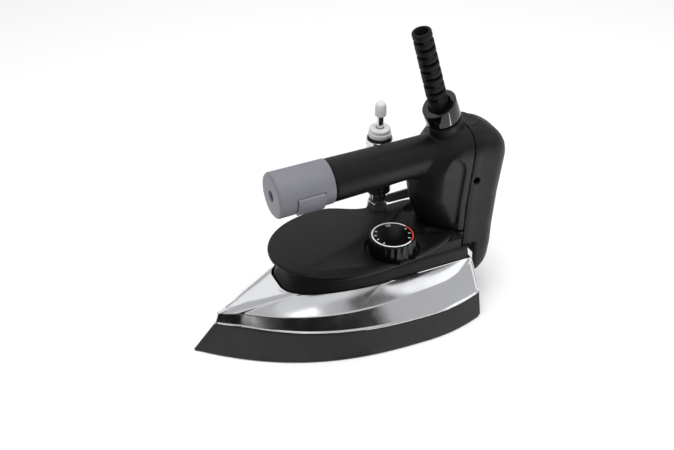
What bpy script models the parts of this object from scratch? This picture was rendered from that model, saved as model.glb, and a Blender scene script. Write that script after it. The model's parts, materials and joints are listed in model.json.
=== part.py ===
"""Industrial gravity-feed steam iron, in metres, +Z up.

The tip points to -Y, the heel to +Y, and +X is the iron's left side. The origin
is the middle of the sole's bottom face. One object is one physical piece.
"""

import math

import bmesh
import bpy
from mathutils import Matrix, Vector

# Fits
GAP = 0.0003            # between pieces that touch
LOOSE = 0.0005          # around pieces that slide or are dropped in
SCREW_GAP = 0.0003      # around a screw's shank

# Sole plate
SOLE_LENGTH = 0.220
SOLE_HALF_WIDTH = 0.0613
SOLE_REAR_HALF_WIDTH = 0.050
SOLE_WIDEST = 0.755     # how far back along the length the sole is widest
SOLE_FULLNESS = 2.64
SOLE_HEIGHT = 0.0203
SOLE_TOP_INSET = 0.0046
SOLE_NOSE_SETBACK = 0.0174
SOLE_EDGE = 0.0008
NOSE_HALF_FLAT = 0.0011
FRONT = -SOLE_LENGTH / 2
REAR = SOLE_LENGTH / 2

# Heating element and steam chamber
ELEMENT_RADIUS = 0.0041
ELEMENT_INSET = 0.022
ELEMENT_DEPTH = 0.0043
ELEMENT_REAR_SETBACK = 0.016
ELEMENT_FRONT_SETBACK = 0.088
ELEMENT_RISE = 0.0105
CHAMBER_RIM = 0.008
CHAMBER_FRONT_SETBACK = 0.072
CHAMBER_LENGTH = 0.054
CHAMBER_DEPTH = 0.0123
GASKET_THICKNESS = 0.0008
CHAMBER_COVER_THICKNESS = 0.0025
STEAM_PORT_RADIUS = 0.00175
STEAM_PORT_PAIRS = 5
STEAM_PORT_PITCH = 0.0100
STEAM_PORT_EDGE = 0.0045
CHAMBER_SCREW_RADIUS = 0.0015

# Chromed body shell
SHELL_WALL = 0.0012
SHELL_LIP = 0.0006
SHELL_LIP_HEIGHT = 0.0011
SHELL_LEAN = 0.0010
CREASE_NOSE_Z = 0.0089
CREASE_RISE = 0.0113
CREASE_NOSE_SETBACK = 0.0020
CREASE_REAR_INSET = 0.0136
OPENING_Z = 0.0447
OPENING_FRONT_FROM_REAR = 0.1535
OPENING_REAR_FROM_REAR = 0.0030

# Top cover: neck and oval plate
PLATE_Z = 0.068
PLATE_THICKNESS = 0.0048
PLATE_CENTRE_FROM_REAR = 0.1004
PLATE_FRONT_LENGTH = 0.0565
PLATE_OVERHANG = 0.0108
PLATE_RELIEF = 0.0095   # how far the right side steps in beside the valve
NECK_GAP = 0.0008
NECK_WALL = 0.0024
NECK_FOOT_Z = 0.0385
NECK_WAIST = 0.0025
NECK_STEP_Z = 0.0545
NECK_REAR_FROM_REAR = 0.0092
NECK_LEAN = 0.0065      # how far the front leans back up to the plate
CEILING = 0.0026        # cover material under the plate, inside the neck
BOARD_THICKNESS = 0.0015

# Thermostat and dial
DIAL_RADIUS = 0.018
DIAL_TOP_Z = 0.0796
DIAL_FROM_REAR = 0.0685
DIAL_FROM_EDGE = 0.0207
DIAL_FLUTES = 24
WELL_GAP = 0.0026
WELL_DEPTH = 0.0025
DIAL_FOOT = 0.0016
SCALE_RADIUS = 0.0163
SCALE_THICKNESS = 0.0007
SPINDLE_RADIUS = 0.003
THERMOSTAT_RADIUS = 0.0125
THERMOSTAT_HEIGHT = 0.0068
BUSH_RADIUS = 0.006

# Handle: grip, column, gland boss
GRIP_AXIS_Z = 0.1223    # of the cap's face
GRIP_TILT = math.radians(2.3)
GRIP_RADIUS = 0.0175    # of the cap's face; cap and grip narrow towards the rear
GRIP_STEP = 0.0005      # the grip is this much thinner than the cap where they meet
CAP_TAPER = 0.0005
GRIP_TAPER = 0.0014
GRIP_WALL = 0.0052
CAP_FACE_FROM_REAR = 0.1562
CAP_LENGTH = 0.0447
CAP_WALL = 0.0022
CAP_FRONT_WALL = 0.0060
CAP_EDGE = 0.0024
CAP_SCREW_RECESS = 0.0042
SPIGOT_LENGTH = 0.005
SPIGOT_WALL = 0.0025
WEB_FROM_JUNCTION = 0.006
WEB_THICKNESS = 0.006
COLUMN_HALF_WIDTH = 0.025
COLUMN_FLARE = 0.002
COLUMN_TOP_Z = 0.1492
COLUMN_SHOULDER_Z = 0.121
COLUMN_TOP_FROM_REAR = 0.0200
COLUMN_WALL = 0.0032
COLUMN_FLOOR = 0.0125
COLUMN_FOOT_FROM_REAR = 0.033
COLUMN_WAIST_FROM_REAR = 0.0420
SEAM_FROM_REAR = 0.009
SEAM_LEAN = 0.09
SEAM_FOOT_Z = 0.058

# Rear cover
COVER_WALL = 0.0028
COVER_FOOT_Z = 0.0300
COVER_SHOULDER_Z = 0.122
COVER_CORNER = 0.017
COVER_BACK_FOOT = 0.0185   # behind the heel
COVER_BACK_TOP = 0.0328
SKIRT_GAP = 0.0017
NOTCH_Z = 0.0556

# Cord gland, seated on the handle's boss
GLAND_FROM_REAR = 0.0170
GLAND_Z = 0.1550
GLAND_LEAN = math.radians(20.6)
BOSS_RADIUS = 0.0139
COLLAR_RADIUS = 0.0135
COLLAR_LENGTH = 0.0175
COLLAR_DROP = 0.0028    # the collar's top is this much lower at the front
NIPPLE_RADIUS = 0.0079
NIPPLE_BORE = 0.0052
BOOT_RADIUS = 0.0077
BOOT_TAPER = 0.05
BOOT_BORE = 0.0050
BOOT_LENGTH = 0.0600
BOOT_LEAN = math.radians(16.2)
BOOT_RIBS = 9
BOOT_GROOVE = 0.0010

# Flow valve
VALVE_FROM_REAR = 0.0551
VALVE_RADIUS = 0.0102
VALVE_FROM_AXIS = GRIP_RADIUS + VALVE_RADIUS + 0.0009
VALVE_CAN_WALL = 0.0012
VALVE_CAN_FOOT_Z = 0.0854
VALVE_CAN_TOP_Z = 0.1318
VALVE_HEX_Z = 0.0760
VALVE_NUT_RADIUS = 0.0065
STEM_RADIUS = 0.0028
STEM_TOP_Z = 0.1576
BONNET_TOP_Z = 0.1413
KNOB_RADIUS = 0.0045
KNOB_FOOT_Z = 0.1513
KNOB_TOP_Z = 0.1633
ARMATURE_RADIUS = 0.0034

# Side button and switch
BUTTON_ANGLE = math.radians(-22)
BUTTON_FROM_FACE = 0.0138
BUTTON_LENGTH = 0.0222
BUTTON_WIDTH = 0.018
BUTTON_PROUD = 0.0014
BUTTON_TRAVEL = 0.0020

# Screws
M3_RADIUS = 0.0015
M4_RADIUS = 0.0020

CHROME = ((0.80, 0.81, 0.82), 0.08, 1.0)
STEEL = ((0.60, 0.60, 0.61), 0.30, 1.0)
BRASS = ((0.70, 0.52, 0.26), 0.32, 1.0)
ALUMINIUM = ((0.70, 0.71, 0.72), 0.40, 1.0)
DARK_CAST = ((0.045, 0.045, 0.046), 0.55, 0.3)
BAKELITE = ((0.020, 0.020, 0.021), 0.42, 0.0)
BLACK_GLOSS = ((0.012, 0.012, 0.012), 0.12, 0.0)
RUBBER = ((0.018, 0.018, 0.018), 0.70, 0.0)
GREY_ABS = ((0.24, 0.24, 0.26), 0.42, 0.0)
WHITE_NYLON = ((0.82, 0.83, 0.83), 0.35, 0.0)
SILICONE = ((0.55, 0.13, 0.08), 0.55, 0.0)
COPPER = ((0.72, 0.38, 0.24), 0.35, 1.0)
MICA = ((0.52, 0.44, 0.32), 0.70, 0.0)
GREY_PAINT = ((0.20, 0.20, 0.21), 0.50, 0.2)


# ---------------------------------------------------------------- tools

def clear_scene():
    for old in list(bpy.data.objects):
        bpy.data.objects.remove(old, do_unlink=True)


def material(finish):
    colour, roughness, metallic = finish
    name = "finish_%03d_%02d" % (round(colour[0] * 999), round(roughness * 99))
    made = bpy.data.materials.get(name) or bpy.data.materials.new(name)
    made.use_nodes = True
    shader = made.node_tree.nodes["Principled BSDF"]
    shader.inputs["Base Color"].default_value = (*colour, 1.0)
    shader.inputs["Roughness"].default_value = roughness
    shader.inputs["Metallic"].default_value = metallic
    return made


def add_object(name, bm, finish):
    bmesh.ops.recalc_face_normals(bm, faces=bm.faces)
    mesh = bpy.data.meshes.new(name)
    bm.to_mesh(mesh)
    bm.free()
    mesh.materials.append(material(finish))
    mesh.shade_smooth()
    mesh.set_sharp_from_angle(angle=math.radians(35))
    made = bpy.data.objects.new(name, mesh)
    bpy.context.scene.collection.objects.link(made)
    return made


def loft(rings, closed=False):
    """A solid through rings of equal point counts: capped, or closed on itself."""
    bm = bmesh.new()
    first = [bm.verts.new(point) for point in rings[0]]
    face = bm.faces.new(first)
    if not closed:
        bm.faces.new([bm.verts.new(v.co) for v in reversed(first)])
    for ring in rings[1:] + ([rings[0]] if closed else []):
        face = bmesh.ops.extrude_discrete_faces(bm, faces=[face])["faces"][0]
        for vert, point in zip(face.verts, ring):
            vert.co = point
    if closed:
        bm.faces.remove(face)
    bmesh.ops.remove_doubles(bm, verts=bm.verts, dist=1e-6)
    return bm


START_ANGLE = 0.37      # each step count starts elsewhere, so that no two facets line up


def turned(profile, base=(0, 0, 0), direction=(0, 0, 1), steps=20, closed=False):
    """The (radius, height) profile spun round an axis from base along direction."""
    bm = bmesh.new()
    verts = [bm.verts.new((radius, 0, height)) for radius, height in profile]
    pairs = list(zip(verts, verts[1:])) + ([(verts[-1], verts[0])] if closed else [])
    edges = [bm.edges.new(pair) for pair in pairs]
    bmesh.ops.spin(bm, geom=verts + edges, cent=(0, 0, 0), axis=(0, 0, 1),
                   angle=math.tau, steps=steps, use_merge=True)
    bmesh.ops.remove_doubles(bm, verts=bm.verts, dist=1e-6)
    start = Matrix.Rotation(START_ANGLE * steps, 4, "Z")
    bmesh.ops.transform(bm, matrix=pose(base, direction) @ start, verts=bm.verts)
    return bm


def pose(base, direction):
    turn = Vector(direction).to_track_quat("Z", "Y").to_matrix().to_4x4()
    return Matrix.Translation(base) @ turn


def rod(radius, low, high, base=(0, 0, 0), direction=(0, 0, 1), steps=16):
    return turned([(0, low), (radius, low), (radius, high), (0, high)],
                  base, direction, steps)


def pipe(outer, inner, low, high, base=(0, 0, 0), direction=(0, 0, 1), steps=20):
    return turned([(inner, low), (outer, low), (outer, high), (inner, high)],
                  base, direction, steps, closed=True)


def box(low, high, matrix=None):
    bm = bmesh.new()
    bmesh.ops.create_cube(bm, size=1)
    low, high = Vector(low), Vector(high)
    bmesh.ops.scale(bm, vec=high - low, verts=bm.verts)
    bmesh.ops.translate(bm, vec=(low + high) / 2, verts=bm.verts)
    if matrix:
        bmesh.ops.transform(bm, matrix=matrix, verts=bm.verts)
    return bm


def prism(outline, low, high):
    return loft([[(x, y, low) for x, y in outline], [(x, y, high) for x, y in outline]])


def combine(piece, tool, operation):
    """Cuts a tool's mesh out of a piece, joins it on, or keeps what they share."""
    cutter = add_object("tool", tool, STEEL)
    step = piece.modifiers.new("combine", "BOOLEAN")
    step.operation = operation
    step.object = cutter
    step.solver = "EXACT"
    graph = bpy.context.evaluated_depsgraph_get()
    mesh = bpy.data.meshes.new_from_object(piece.evaluated_get(graph))
    piece.modifiers.clear()
    piece.data = mesh
    bpy.data.objects.remove(cutter, do_unlink=True)


def cut(piece, *tools):
    for tool in tools:
        combine(piece, tool, "DIFFERENCE")


def join(piece, *tools):
    for tool in tools:
        combine(piece, tool, "UNION")


def wire(name, points, radius, finish, sides=1, steps=2):
    """A round wire or tube along a smooth curve through the points."""
    smooth = spline_points(points, steps)
    data = bpy.data.curves.new(name, "CURVE")
    data.dimensions = "3D"
    line = data.splines.new("POLY")
    line.points.add(len(smooth) - 1)
    for point, place in zip(line.points, smooth):
        point.co = (*place, 1)
    data.bevel_depth = radius
    data.bevel_resolution = sides
    data.use_fill_caps = True
    data.materials.append(material(finish))
    made = bpy.data.objects.new(name, data)
    bpy.context.scene.collection.objects.link(made)
    return made


def spline_points(points, steps):
    """Catmull-Rom points through the given ones."""
    knots = [Vector(p) for p in points]
    knots = [2 * knots[0] - knots[1]] + knots + [2 * knots[-1] - knots[-2]]
    smooth = []
    for a, b, c, d in zip(knots, knots[1:], knots[2:], knots[3:]):
        for i in range(steps):
            t = i / steps
            smooth.append(0.5 * (2 * b + (c - a) * t + (2 * a - 5 * b + 4 * c - d) * t * t
                                 + (3 * b - a - 3 * c + d) * t ** 3))
    return smooth + [knots[-2]]


# ---------------------------------------------------------------- outlines

OUTLINE_STEPS = 15


def sole_half(share):
    """Half the sole's width at a share of its length behind the tip."""
    if share < SOLE_WIDEST:
        return SOLE_HALF_WIDTH * (1 - (1 - share / SOLE_WIDEST) ** SOLE_FULLNESS)
    tail = (share - SOLE_WIDEST) / (1 - SOLE_WIDEST)
    return SOLE_HALF_WIDTH - (SOLE_HALF_WIDTH - SOLE_REAR_HALF_WIDTH) * tail ** 2


def sole_half_at(y):
    return sole_half((y - FRONT) / SOLE_LENGTH)


def mirrored(side):
    """Both sides of an outline whose +X half runs from the front to the rear."""
    return side + [(-point[0], *point[1:]) for point in reversed(side)]


def sole_ring(height, inset, setback, rear_inset=0.0, flat=NOSE_HALF_FLAT):
    """The sole's outline at a height; inset and height may depend on the share."""
    side = []
    for i in range(OUTLINE_STEPS + 1):
        share = (i / OUTLINE_STEPS) ** 1.25
        depth = inset(share) if callable(inset) else inset
        z = height(share) if callable(height) else height
        half = max(sole_half(share) - depth * min(1.0, share * 12), flat)
        y = FRONT + setback + share * (SOLE_LENGTH - setback - rear_inset)
        side.append((half, y, z))
    return mirrored(side)


def blunt_half(y, front, middle, rear, half, rear_half):
    """Half the width of the blunt-nosed outline of the neck and its opening."""
    if y < middle:
        reach = (middle - y) / (middle - front)
        return half * max(0.0, 1 - reach ** 1.6) ** 0.30
    return half + (rear_half - half) * (y - middle) / (rear - middle)


NECK_MIDDLE = REAR - 0.080
NECK_HALF = SOLE_REAR_HALF_WIDTH - SOLE_TOP_INSET - CREASE_REAR_INSET + 0.0024
NECK_REAR_HALF = NECK_HALF - 0.0024


def neck_lean(height):
    share = (height - OPENING_Z) / (PLATE_Z - PLATE_THICKNESS - OPENING_Z)
    return NECK_LEAN * min(1.0, max(0.0, share)) ** 0.5


def blunt_ring(height, grow=0.0, rear=None):
    """The opening's outline at a height, grown outwards; rear is its last y."""
    front = REAR - OPENING_FRONT_FROM_REAR - grow + neck_lean(height)
    rear = REAR - OPENING_REAR_FROM_REAR + grow if rear is None else rear
    front_steps = OUTLINE_STEPS - 7
    side = []
    for i in range(front_steps + 1):
        angle = math.radians(5 + 85 * i / front_steps)
        y = NECK_MIDDLE - (NECK_MIDDLE - front) * math.cos(angle) ** 1.25
        side.append(y)
    side += [NECK_MIDDLE + (rear - NECK_MIDDLE) * i / 7 for i in range(1, 8)]
    points = [(blunt_half(y, front, NECK_MIDDLE, rear, NECK_HALF + grow,
                          NECK_REAR_HALF + grow), y, height) for y in side]
    return mirrored(points)


PLATE_CENTRE = REAR - PLATE_CENTRE_FROM_REAR
PLATE_REAR_LENGTH = PLATE_CENTRE_FROM_REAR - NECK_REAR_FROM_REAR - LOOSE
PLATE_HALF = NECK_HALF + PLATE_OVERHANG


PLATE_REAR_FULLNESS = 0.62


def smooth_step(value, low, high):
    share = min(1.0, max(0.0, (value - low) / (high - low)))
    return share * share * (3 - 2 * share)


def plate_relief(y):
    """How far the plate's right side steps in beside the valve."""
    return PLATE_RELIEF * (smooth_step(y, REAR - 0.096, REAR - 0.066)
                           - smooth_step(y, REAR - 0.052, REAR - 0.018))


def plate_ring(height, inset=0.0):
    """The oval plate's outline: a short front half and a long rear half."""
    side = []
    for i in range(OUTLINE_STEPS + 1):
        angle = math.radians(4 + 172 * i / OUTLINE_STEPS)
        rear = angle > math.pi / 2
        length = PLATE_REAR_LENGTH if rear else PLATE_FRONT_LENGTH
        y = PLATE_CENTRE - (length - inset) * math.cos(angle)
        half = (PLATE_HALF - inset) * math.sin(angle) ** (PLATE_REAR_FULLNESS if rear else 1)
        side.append((half, y, height))
    return side + [(plate_relief(y) - half, y, z) for half, y, z in reversed(side)]


def circle(radius, centre, steps=24):
    return [(centre[0] + radius * math.cos(math.tau * i / steps),
             centre[1] + radius * math.sin(math.tau * i / steps)) for i in range(steps)]


# ---------------------------------------------------------------- sole and steam chamber

def element_x(y):
    return sole_half_at(y) - ELEMENT_INSET


def element_side(offset):
    """The element's +X leg, from its rear end to the front bend, moved sideways."""
    rear = REAR - ELEMENT_REAR_SETBACK
    front = FRONT + ELEMENT_FRONT_SETBACK
    side = [(element_x(y) + offset, y)
            for y in (rear + (front - rear) * i / 7 for i in range(8))]
    radius = element_x(front) + offset
    return side + [(radius * math.cos(a), front - radius * math.sin(a))
                   for a in (math.pi / 12 * i for i in range(1, 6))]


def element_line(offset=0.0):
    side = element_side(offset)
    radius = element_x(FRONT + ELEMENT_FRONT_SETBACK) + offset
    nose = (0.0, FRONT + ELEMENT_FRONT_SETBACK - radius)
    return side + [nose] + [(-x, y) for x, y in reversed(side)]


ELEMENT_Z = SOLE_HEIGHT - ELEMENT_DEPTH
ELEMENT_END_Y = REAR - ELEMENT_REAR_SETBACK + 0.0055


def element_groove():
    reach = ELEMENT_RADIUS + 2 * LOOSE
    outer, inner = element_line(reach), element_line(-reach)
    rear = ELEMENT_END_Y + reach
    ends = [(outer[-1][0], rear), (inner[-1][0], rear)]
    starts = [(inner[0][0], rear), (outer[0][0], rear)]
    outline = outer + ends + list(reversed(inner)) + starts
    return prism(outline, ELEMENT_Z - reach, SOLE_HEIGHT + 0.001)


def chamber_half(y):
    return element_x(y) - ELEMENT_RADIUS - CHAMBER_RIM


CHAMBER_FRONT = FRONT + CHAMBER_FRONT_SETBACK
CHAMBER_REAR = CHAMBER_FRONT + CHAMBER_LENGTH


def chamber_outline(grow=0.0):
    front, rear = CHAMBER_FRONT - grow, CHAMBER_REAR + grow
    side = [(chamber_half(y) + grow, y)
            for y in (front + (rear - front) * i / 6 for i in range(7))]
    side[-1] = (side[-1][0], rear - 0.003)
    return mirrored(side + [(side[-1][0] - 0.003, rear)])


def chamber_screws():
    inset = CHAMBER_RIM / 2 - LOOSE
    spots = [CHAMBER_FRONT + 0.006, CHAMBER_REAR - 0.008]
    return [(side * (chamber_half(y) + inset), y) for y in spots for side in (1, -1)]


def steam_ports():
    for i in range(STEAM_PORT_PAIRS):
        y = CHAMBER_FRONT + 0.006 + STEAM_PORT_PITCH * i
        x = chamber_half(y) - STEAM_PORT_EDGE
        for side in (1, -1):
            yield (side * x, y)


def make_sole():
    rings = [sole_ring(0, SOLE_EDGE, SOLE_EDGE, SOLE_EDGE),
             sole_ring(SOLE_EDGE, 0, 0),
             sole_ring(SOLE_HEIGHT, SOLE_TOP_INSET, SOLE_NOSE_SETBACK)]
    sole = add_object("sole_plate", loft(rings), DARK_CAST)
    cut(sole, element_groove())
    floor = SOLE_HEIGHT - CHAMBER_DEPTH
    cut(sole, prism(chamber_outline(), floor, SOLE_HEIGHT + 0.001))
    for x, y in steam_ports():
        cut(sole, rod(STEAM_PORT_RADIUS, -0.001, floor + 0.001, (x, y, 0), steps=8))
    for x, y in chamber_screws():
        cut(sole, rod(CHAMBER_SCREW_RADIUS + SCREW_GAP, SOLE_HEIGHT - 0.0085,
                      SOLE_HEIGHT + 0.001, (x, y, 0), steps=8))


def make_element():
    line = [(x, y, ELEMENT_Z) for x, y in element_line()]
    rise = ELEMENT_END_Y - line[0][1]
    ends = [(0, rise * 0.75, 0.0012), (0, rise, ELEMENT_RISE / 2), (0, rise, ELEMENT_RISE)]
    start = [tuple(Vector(line[0]) + Vector(e)) for e in reversed(ends)]
    finish = [tuple(Vector(line[-1]) + Vector(e)) for e in ends]
    wire("heating_element", start + line + finish, ELEMENT_RADIUS, STEEL, sides=2, steps=1)
    return start[0], finish[-1]


def make_chamber_cover():
    low = SOLE_HEIGHT + GAP
    top = low + GASKET_THICKNESS
    reach = CHAMBER_RIM - 0.001
    gasket = add_object("chamber_gasket", prism(chamber_outline(reach), low, top), SILICONE)
    cut(gasket, prism(chamber_outline(-LOOSE), low - 0.001, top + 0.001))
    plate_low, plate_top = top + GAP, top + GAP + CHAMBER_COVER_THICKNESS
    plate = add_object("chamber_cover", prism(chamber_outline(reach), plate_low, plate_top),
                       ALUMINIUM)
    for index, (x, y) in enumerate(chamber_screws()):
        hole = CHAMBER_SCREW_RADIUS + SCREW_GAP
        cut(gasket, rod(hole, low - 0.001, top + 0.001, (x, y, 0), steps=8))
        cut(plate, rod(hole, low, plate_top + 0.001, (x, y, 0), steps=8))
        screw = turned([(0, SOLE_HEIGHT - 0.008), (CHAMBER_SCREW_RADIUS, SOLE_HEIGHT - 0.008),
                        (CHAMBER_SCREW_RADIUS, plate_top + GAP), (0.0026, plate_top + GAP),
                        (0.0024, plate_top + 0.0020), (0, plate_top + 0.0022)],
                       (x, y, 0), steps=10)
        add_object("chamber_screw_%d" % (index + 1), screw, STEEL)
    pipe_x, pipe_y = pipe_landing()
    cut(plate, rod(PIPE_RADIUS + GAP, low, plate_top + 0.001, (pipe_x, pipe_y, 0), steps=12))


PIPE_RADIUS = 0.0026


def pipe_landing():
    return -0.012, CHAMBER_REAR - 0.009


# ---------------------------------------------------------------- chromed shell

def crease_height(share):
    return SOLE_HEIGHT + CREASE_NOSE_Z + CREASE_RISE * share


def crease_inset(share):
    return SOLE_TOP_INSET + SHELL_LEAN + (CREASE_REAR_INSET - SHELL_LEAN) * share


def make_shell():
    low = SOLE_HEIGHT + GAP
    lip = low + SHELL_LIP_HEIGHT
    nose = SOLE_NOSE_SETBACK
    wall = SHELL_WALL
    crease_nose = nose + CREASE_NOSE_SETBACK
    outer = [sole_ring(low, SOLE_TOP_INSET - SHELL_LIP, nose - 2 * SHELL_LIP),
             sole_ring(lip, SOLE_TOP_INSET - SHELL_LIP, nose - 2 * SHELL_LIP),
             sole_ring(lip, SOLE_TOP_INSET, nose),
             sole_ring(crease_height, crease_inset, crease_nose),
             blunt_ring(OPENING_Z)]
    inner = [blunt_ring(OPENING_Z - 1.6 * wall),
             sole_ring(lambda s: crease_height(s) - 1.2 * wall,
                       lambda s: crease_inset(s) + 0.9 * wall, crease_nose + 2.5 * wall, wall),
             sole_ring(low, SOLE_TOP_INSET + wall, nose + 2.5 * wall, wall)]
    add_object("body_shell", loft(outer + inner, closed=True), CHROME)


# ---------------------------------------------------------------- top cover

DIAL = (PLATE_HALF - DIAL_FROM_EDGE, REAR - DIAL_FROM_REAR)
VALVE = (-VALVE_FROM_AXIS, REAR - VALVE_FROM_REAR)
PLATE_UNDER_Z = PLATE_Z - PLATE_THICKNESS
CEILING_Z = PLATE_UNDER_Z - CEILING
COVER_SCREWS = [(0.0165, REAR - 0.0341), (-0.0165, REAR - 0.0341)]
HANDLE_SCREWS = [(0.0165, REAR - 0.0180), (-0.0165, REAR - 0.0180)]
WIRE_SLOT = (0.0075, REAR - 0.0230, REAR - 0.0140)
BOARD_Z = NECK_FOOT_Z - BOARD_THICKNESS - GAP
POST_RADIUS = 0.004
VALVE_BOSS_FOOT_Z = OPENING_Z + 0.005
PIPE_BEND = 0.0045


def make_top_cover():
    upper_rear = REAR - NECK_REAR_FROM_REAR
    lower_rear = REAR - OPENING_REAR_FROM_REAR - NECK_GAP
    foot, waist = -NECK_GAP, -NECK_GAP - NECK_WAIST
    rings = [blunt_ring(CEILING_Z, waist - NECK_WALL, upper_rear - NECK_WALL),
             blunt_ring(NECK_STEP_Z + 0.001, waist - NECK_WALL, upper_rear - NECK_WALL),
             blunt_ring(NECK_FOOT_Z, foot - NECK_WALL, lower_rear - NECK_WALL),
             blunt_ring(NECK_FOOT_Z, foot, lower_rear),
             blunt_ring(OPENING_Z + 0.002, foot, lower_rear),
             blunt_ring(NECK_STEP_Z, waist, lower_rear),
             blunt_ring(NECK_STEP_Z + 0.001, waist, upper_rear),
             blunt_ring(PLATE_UNDER_Z + 0.0007, waist, upper_rear)]
    cover = add_object("top_cover", loft(rings), BAKELITE)
    join(cover, loft([plate_ring(PLATE_UNDER_Z, 0.0012), plate_ring(PLATE_UNDER_Z + 0.0010),
                      plate_ring(PLATE_Z - 0.0010), plate_ring(PLATE_Z, 0.0010)]))
    seat = [(x, min(y, upper_rear), z) for x, y, z in column_ring(PLATE_Z + GAP, -0.0008)]
    join(cover, loft([[(x, y, z) for x, y, _ in seat] for z in (PLATE_UNDER_Z, PLATE_Z)]))
    valve_seat = (*VALVE, 0)
    join(cover, rod(0.0085, VALVE_BOSS_FOOT_Z, PLATE_Z - 0.001, valve_seat, steps=20))
    cut(cover, rod(0.0058, VALVE_BOSS_FOOT_Z - 0.001, CEILING_Z, valve_seat, steps=16))
    bend = (VALVE[0] + PIPE_BEND, VALVE[1] - PIPE_BEND, 0)
    cut(cover, rod(0.0048, VALVE_BOSS_FOOT_Z - 0.001, CEILING_Z - 0.003, bend, steps=14))
    cut(cover, rod(0.0037, CEILING_Z - 0.001, PLATE_Z + 0.001, valve_seat, steps=14))
    cut(cover, well(), rod(SPINDLE_RADIUS + LOOSE, CEILING_Z - 0.001, PLATE_Z, (*DIAL, 0)))
    for x, y in COVER_SCREWS:
        cut(cover, rod(M4_RADIUS + SCREW_GAP, CEILING_Z - 0.001, PLATE_Z, (x, y, 0), steps=12))
        cut(cover, rod(0.0038, PLATE_Z - 0.003, PLATE_Z + 0.001, (x, y, 0)))
    for x, y in HANDLE_SCREWS:
        cut(cover, rod(M4_RADIUS + SCREW_GAP, CEILING_Z - 0.001, PLATE_Z + 0.001, (x, y, 0),
                       steps=12))
    half, front, rear = WIRE_SLOT
    cut(cover, box((-half, front, CEILING_Z - 0.001), (half, rear, PLATE_Z + 0.001)))


def well():
    """The round dish that the dial sits in, open where it meets the plate's edge."""
    floor = PLATE_Z - WELL_DEPTH
    radius = DIAL_RADIUS + WELL_GAP
    return turned([(0, floor), (radius - 0.0015, floor), (radius, floor + 0.0012),
                   (radius + 0.002, PLATE_Z + 0.001), (0, PLATE_Z + 0.001)],
                  (*DIAL, 0), steps=32)


def make_board():
    """The insulation board that closes the neck from below."""
    rear = REAR - OPENING_REAR_FROM_REAR - NECK_GAP
    outline = [(x, y) for x, y, z in blunt_ring(0, -NECK_GAP, rear)]
    board = add_object("insulation_board", prism(outline, BOARD_Z, BOARD_Z + BOARD_THICKNESS),
                       MICA)
    below, above = BOARD_Z - 0.001, BOARD_Z + BOARD_THICKNESS + 0.001
    cut(board, rod(BUSH_RADIUS + LOOSE, below, above, (*DIAL, 0)))
    for x, y in COVER_SCREWS:
        cut(board, rod(POST_RADIUS + LOOSE, below, above, (x, y, 0)))
    cut(board, rod(0.0036, below, above, (*PIPE_PASS, 0), steps=12))
    for x, y in LEAD_PASSES:
        cut(board, rod(0.0030, below, above, (x, y, 0), steps=10))


PIPE_PASS = (VALVE[0] + 0.0070, VALVE[1] - 0.0090)
LEAD_PASSES = [(0.0240, REAR - 0.0165), (-0.0240, REAR - 0.0165), (0.0, REAR - 0.0500)]


def make_cover_fixings():
    for name, (x, y) in zip(("left", "right"), COVER_SCREWS):
        low, high = SOLE_HEIGHT + GAP, CEILING_Z - GAP
        bore = M4_RADIUS + SCREW_GAP
        post = turned([(0, low), (POST_RADIUS, low), (POST_RADIUS, high), (bore, high),
                       (bore, high - 0.013), (0, high - 0.013)], (x, y, 0), steps=12)
        add_object("cover_post_" + name, post, STEEL)
        seat = PLATE_Z - 0.003 + GAP
        screw = turned([(0, high - 0.0120), (M4_RADIUS, high - 0.0120), (M4_RADIUS, seat),
                        (0.0034, seat), (0.0034, seat + 0.0014), (0.0026, seat + 0.0022),
                        (0, seat + 0.0022)], (x, y, 0), steps=16)
        piece = add_object("cover_screw_" + name, screw, STEEL)
        cut(piece, box((-0.0004, -0.0022, seat + 0.0012), (0.0004, 0.0022, seat + 0.003),
                       Matrix.Translation((x, y, 0))))
    for name, (x, y) in zip(("left", "right"), HANDLE_SCREWS):
        head = CEILING_Z - GAP
        screw = turned([(0, head - 0.0026), (0.0034, head - 0.0026), (0.0034, head),
                        (M4_RADIUS, head), (M4_RADIUS, PLATE_Z + 0.0095),
                        (0, PLATE_Z + 0.0105)], (x, y, 0), steps=12)
        add_object("handle_screw_" + name, screw, STEEL)


# ---------------------------------------------------------------- thermostat and dial

def make_thermostat():
    low = SOLE_HEIGHT + GAP
    top = low + THERMOSTAT_HEIGHT
    bore = SPINDLE_RADIUS + LOOSE
    bush_top = BOARD_Z + BOARD_THICKNESS + 0.003
    body = turned([(0, low), (THERMOSTAT_RADIUS, low), (THERMOSTAT_RADIUS, top),
                   (BUSH_RADIUS, top), (BUSH_RADIUS, bush_top), (bore, bush_top),
                   (bore, top - 0.003), (0, top - 0.003)], (*DIAL, 0), steps=24)
    add_object("thermostat_body", body, STEEL)
    foot = top - 0.003 + LOOSE
    flat = rod(SPINDLE_RADIUS, foot, DIAL_TOP_Z - 0.0040, (*DIAL, 0), steps=16)
    spindle = add_object("thermostat_spindle", flat, BRASS)
    x, y = DIAL
    cut(spindle, box((x + 0.0022, y - 0.004, PLATE_Z + 0.002),
                     (x + 0.004, y + 0.004, DIAL_TOP_Z)))


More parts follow.
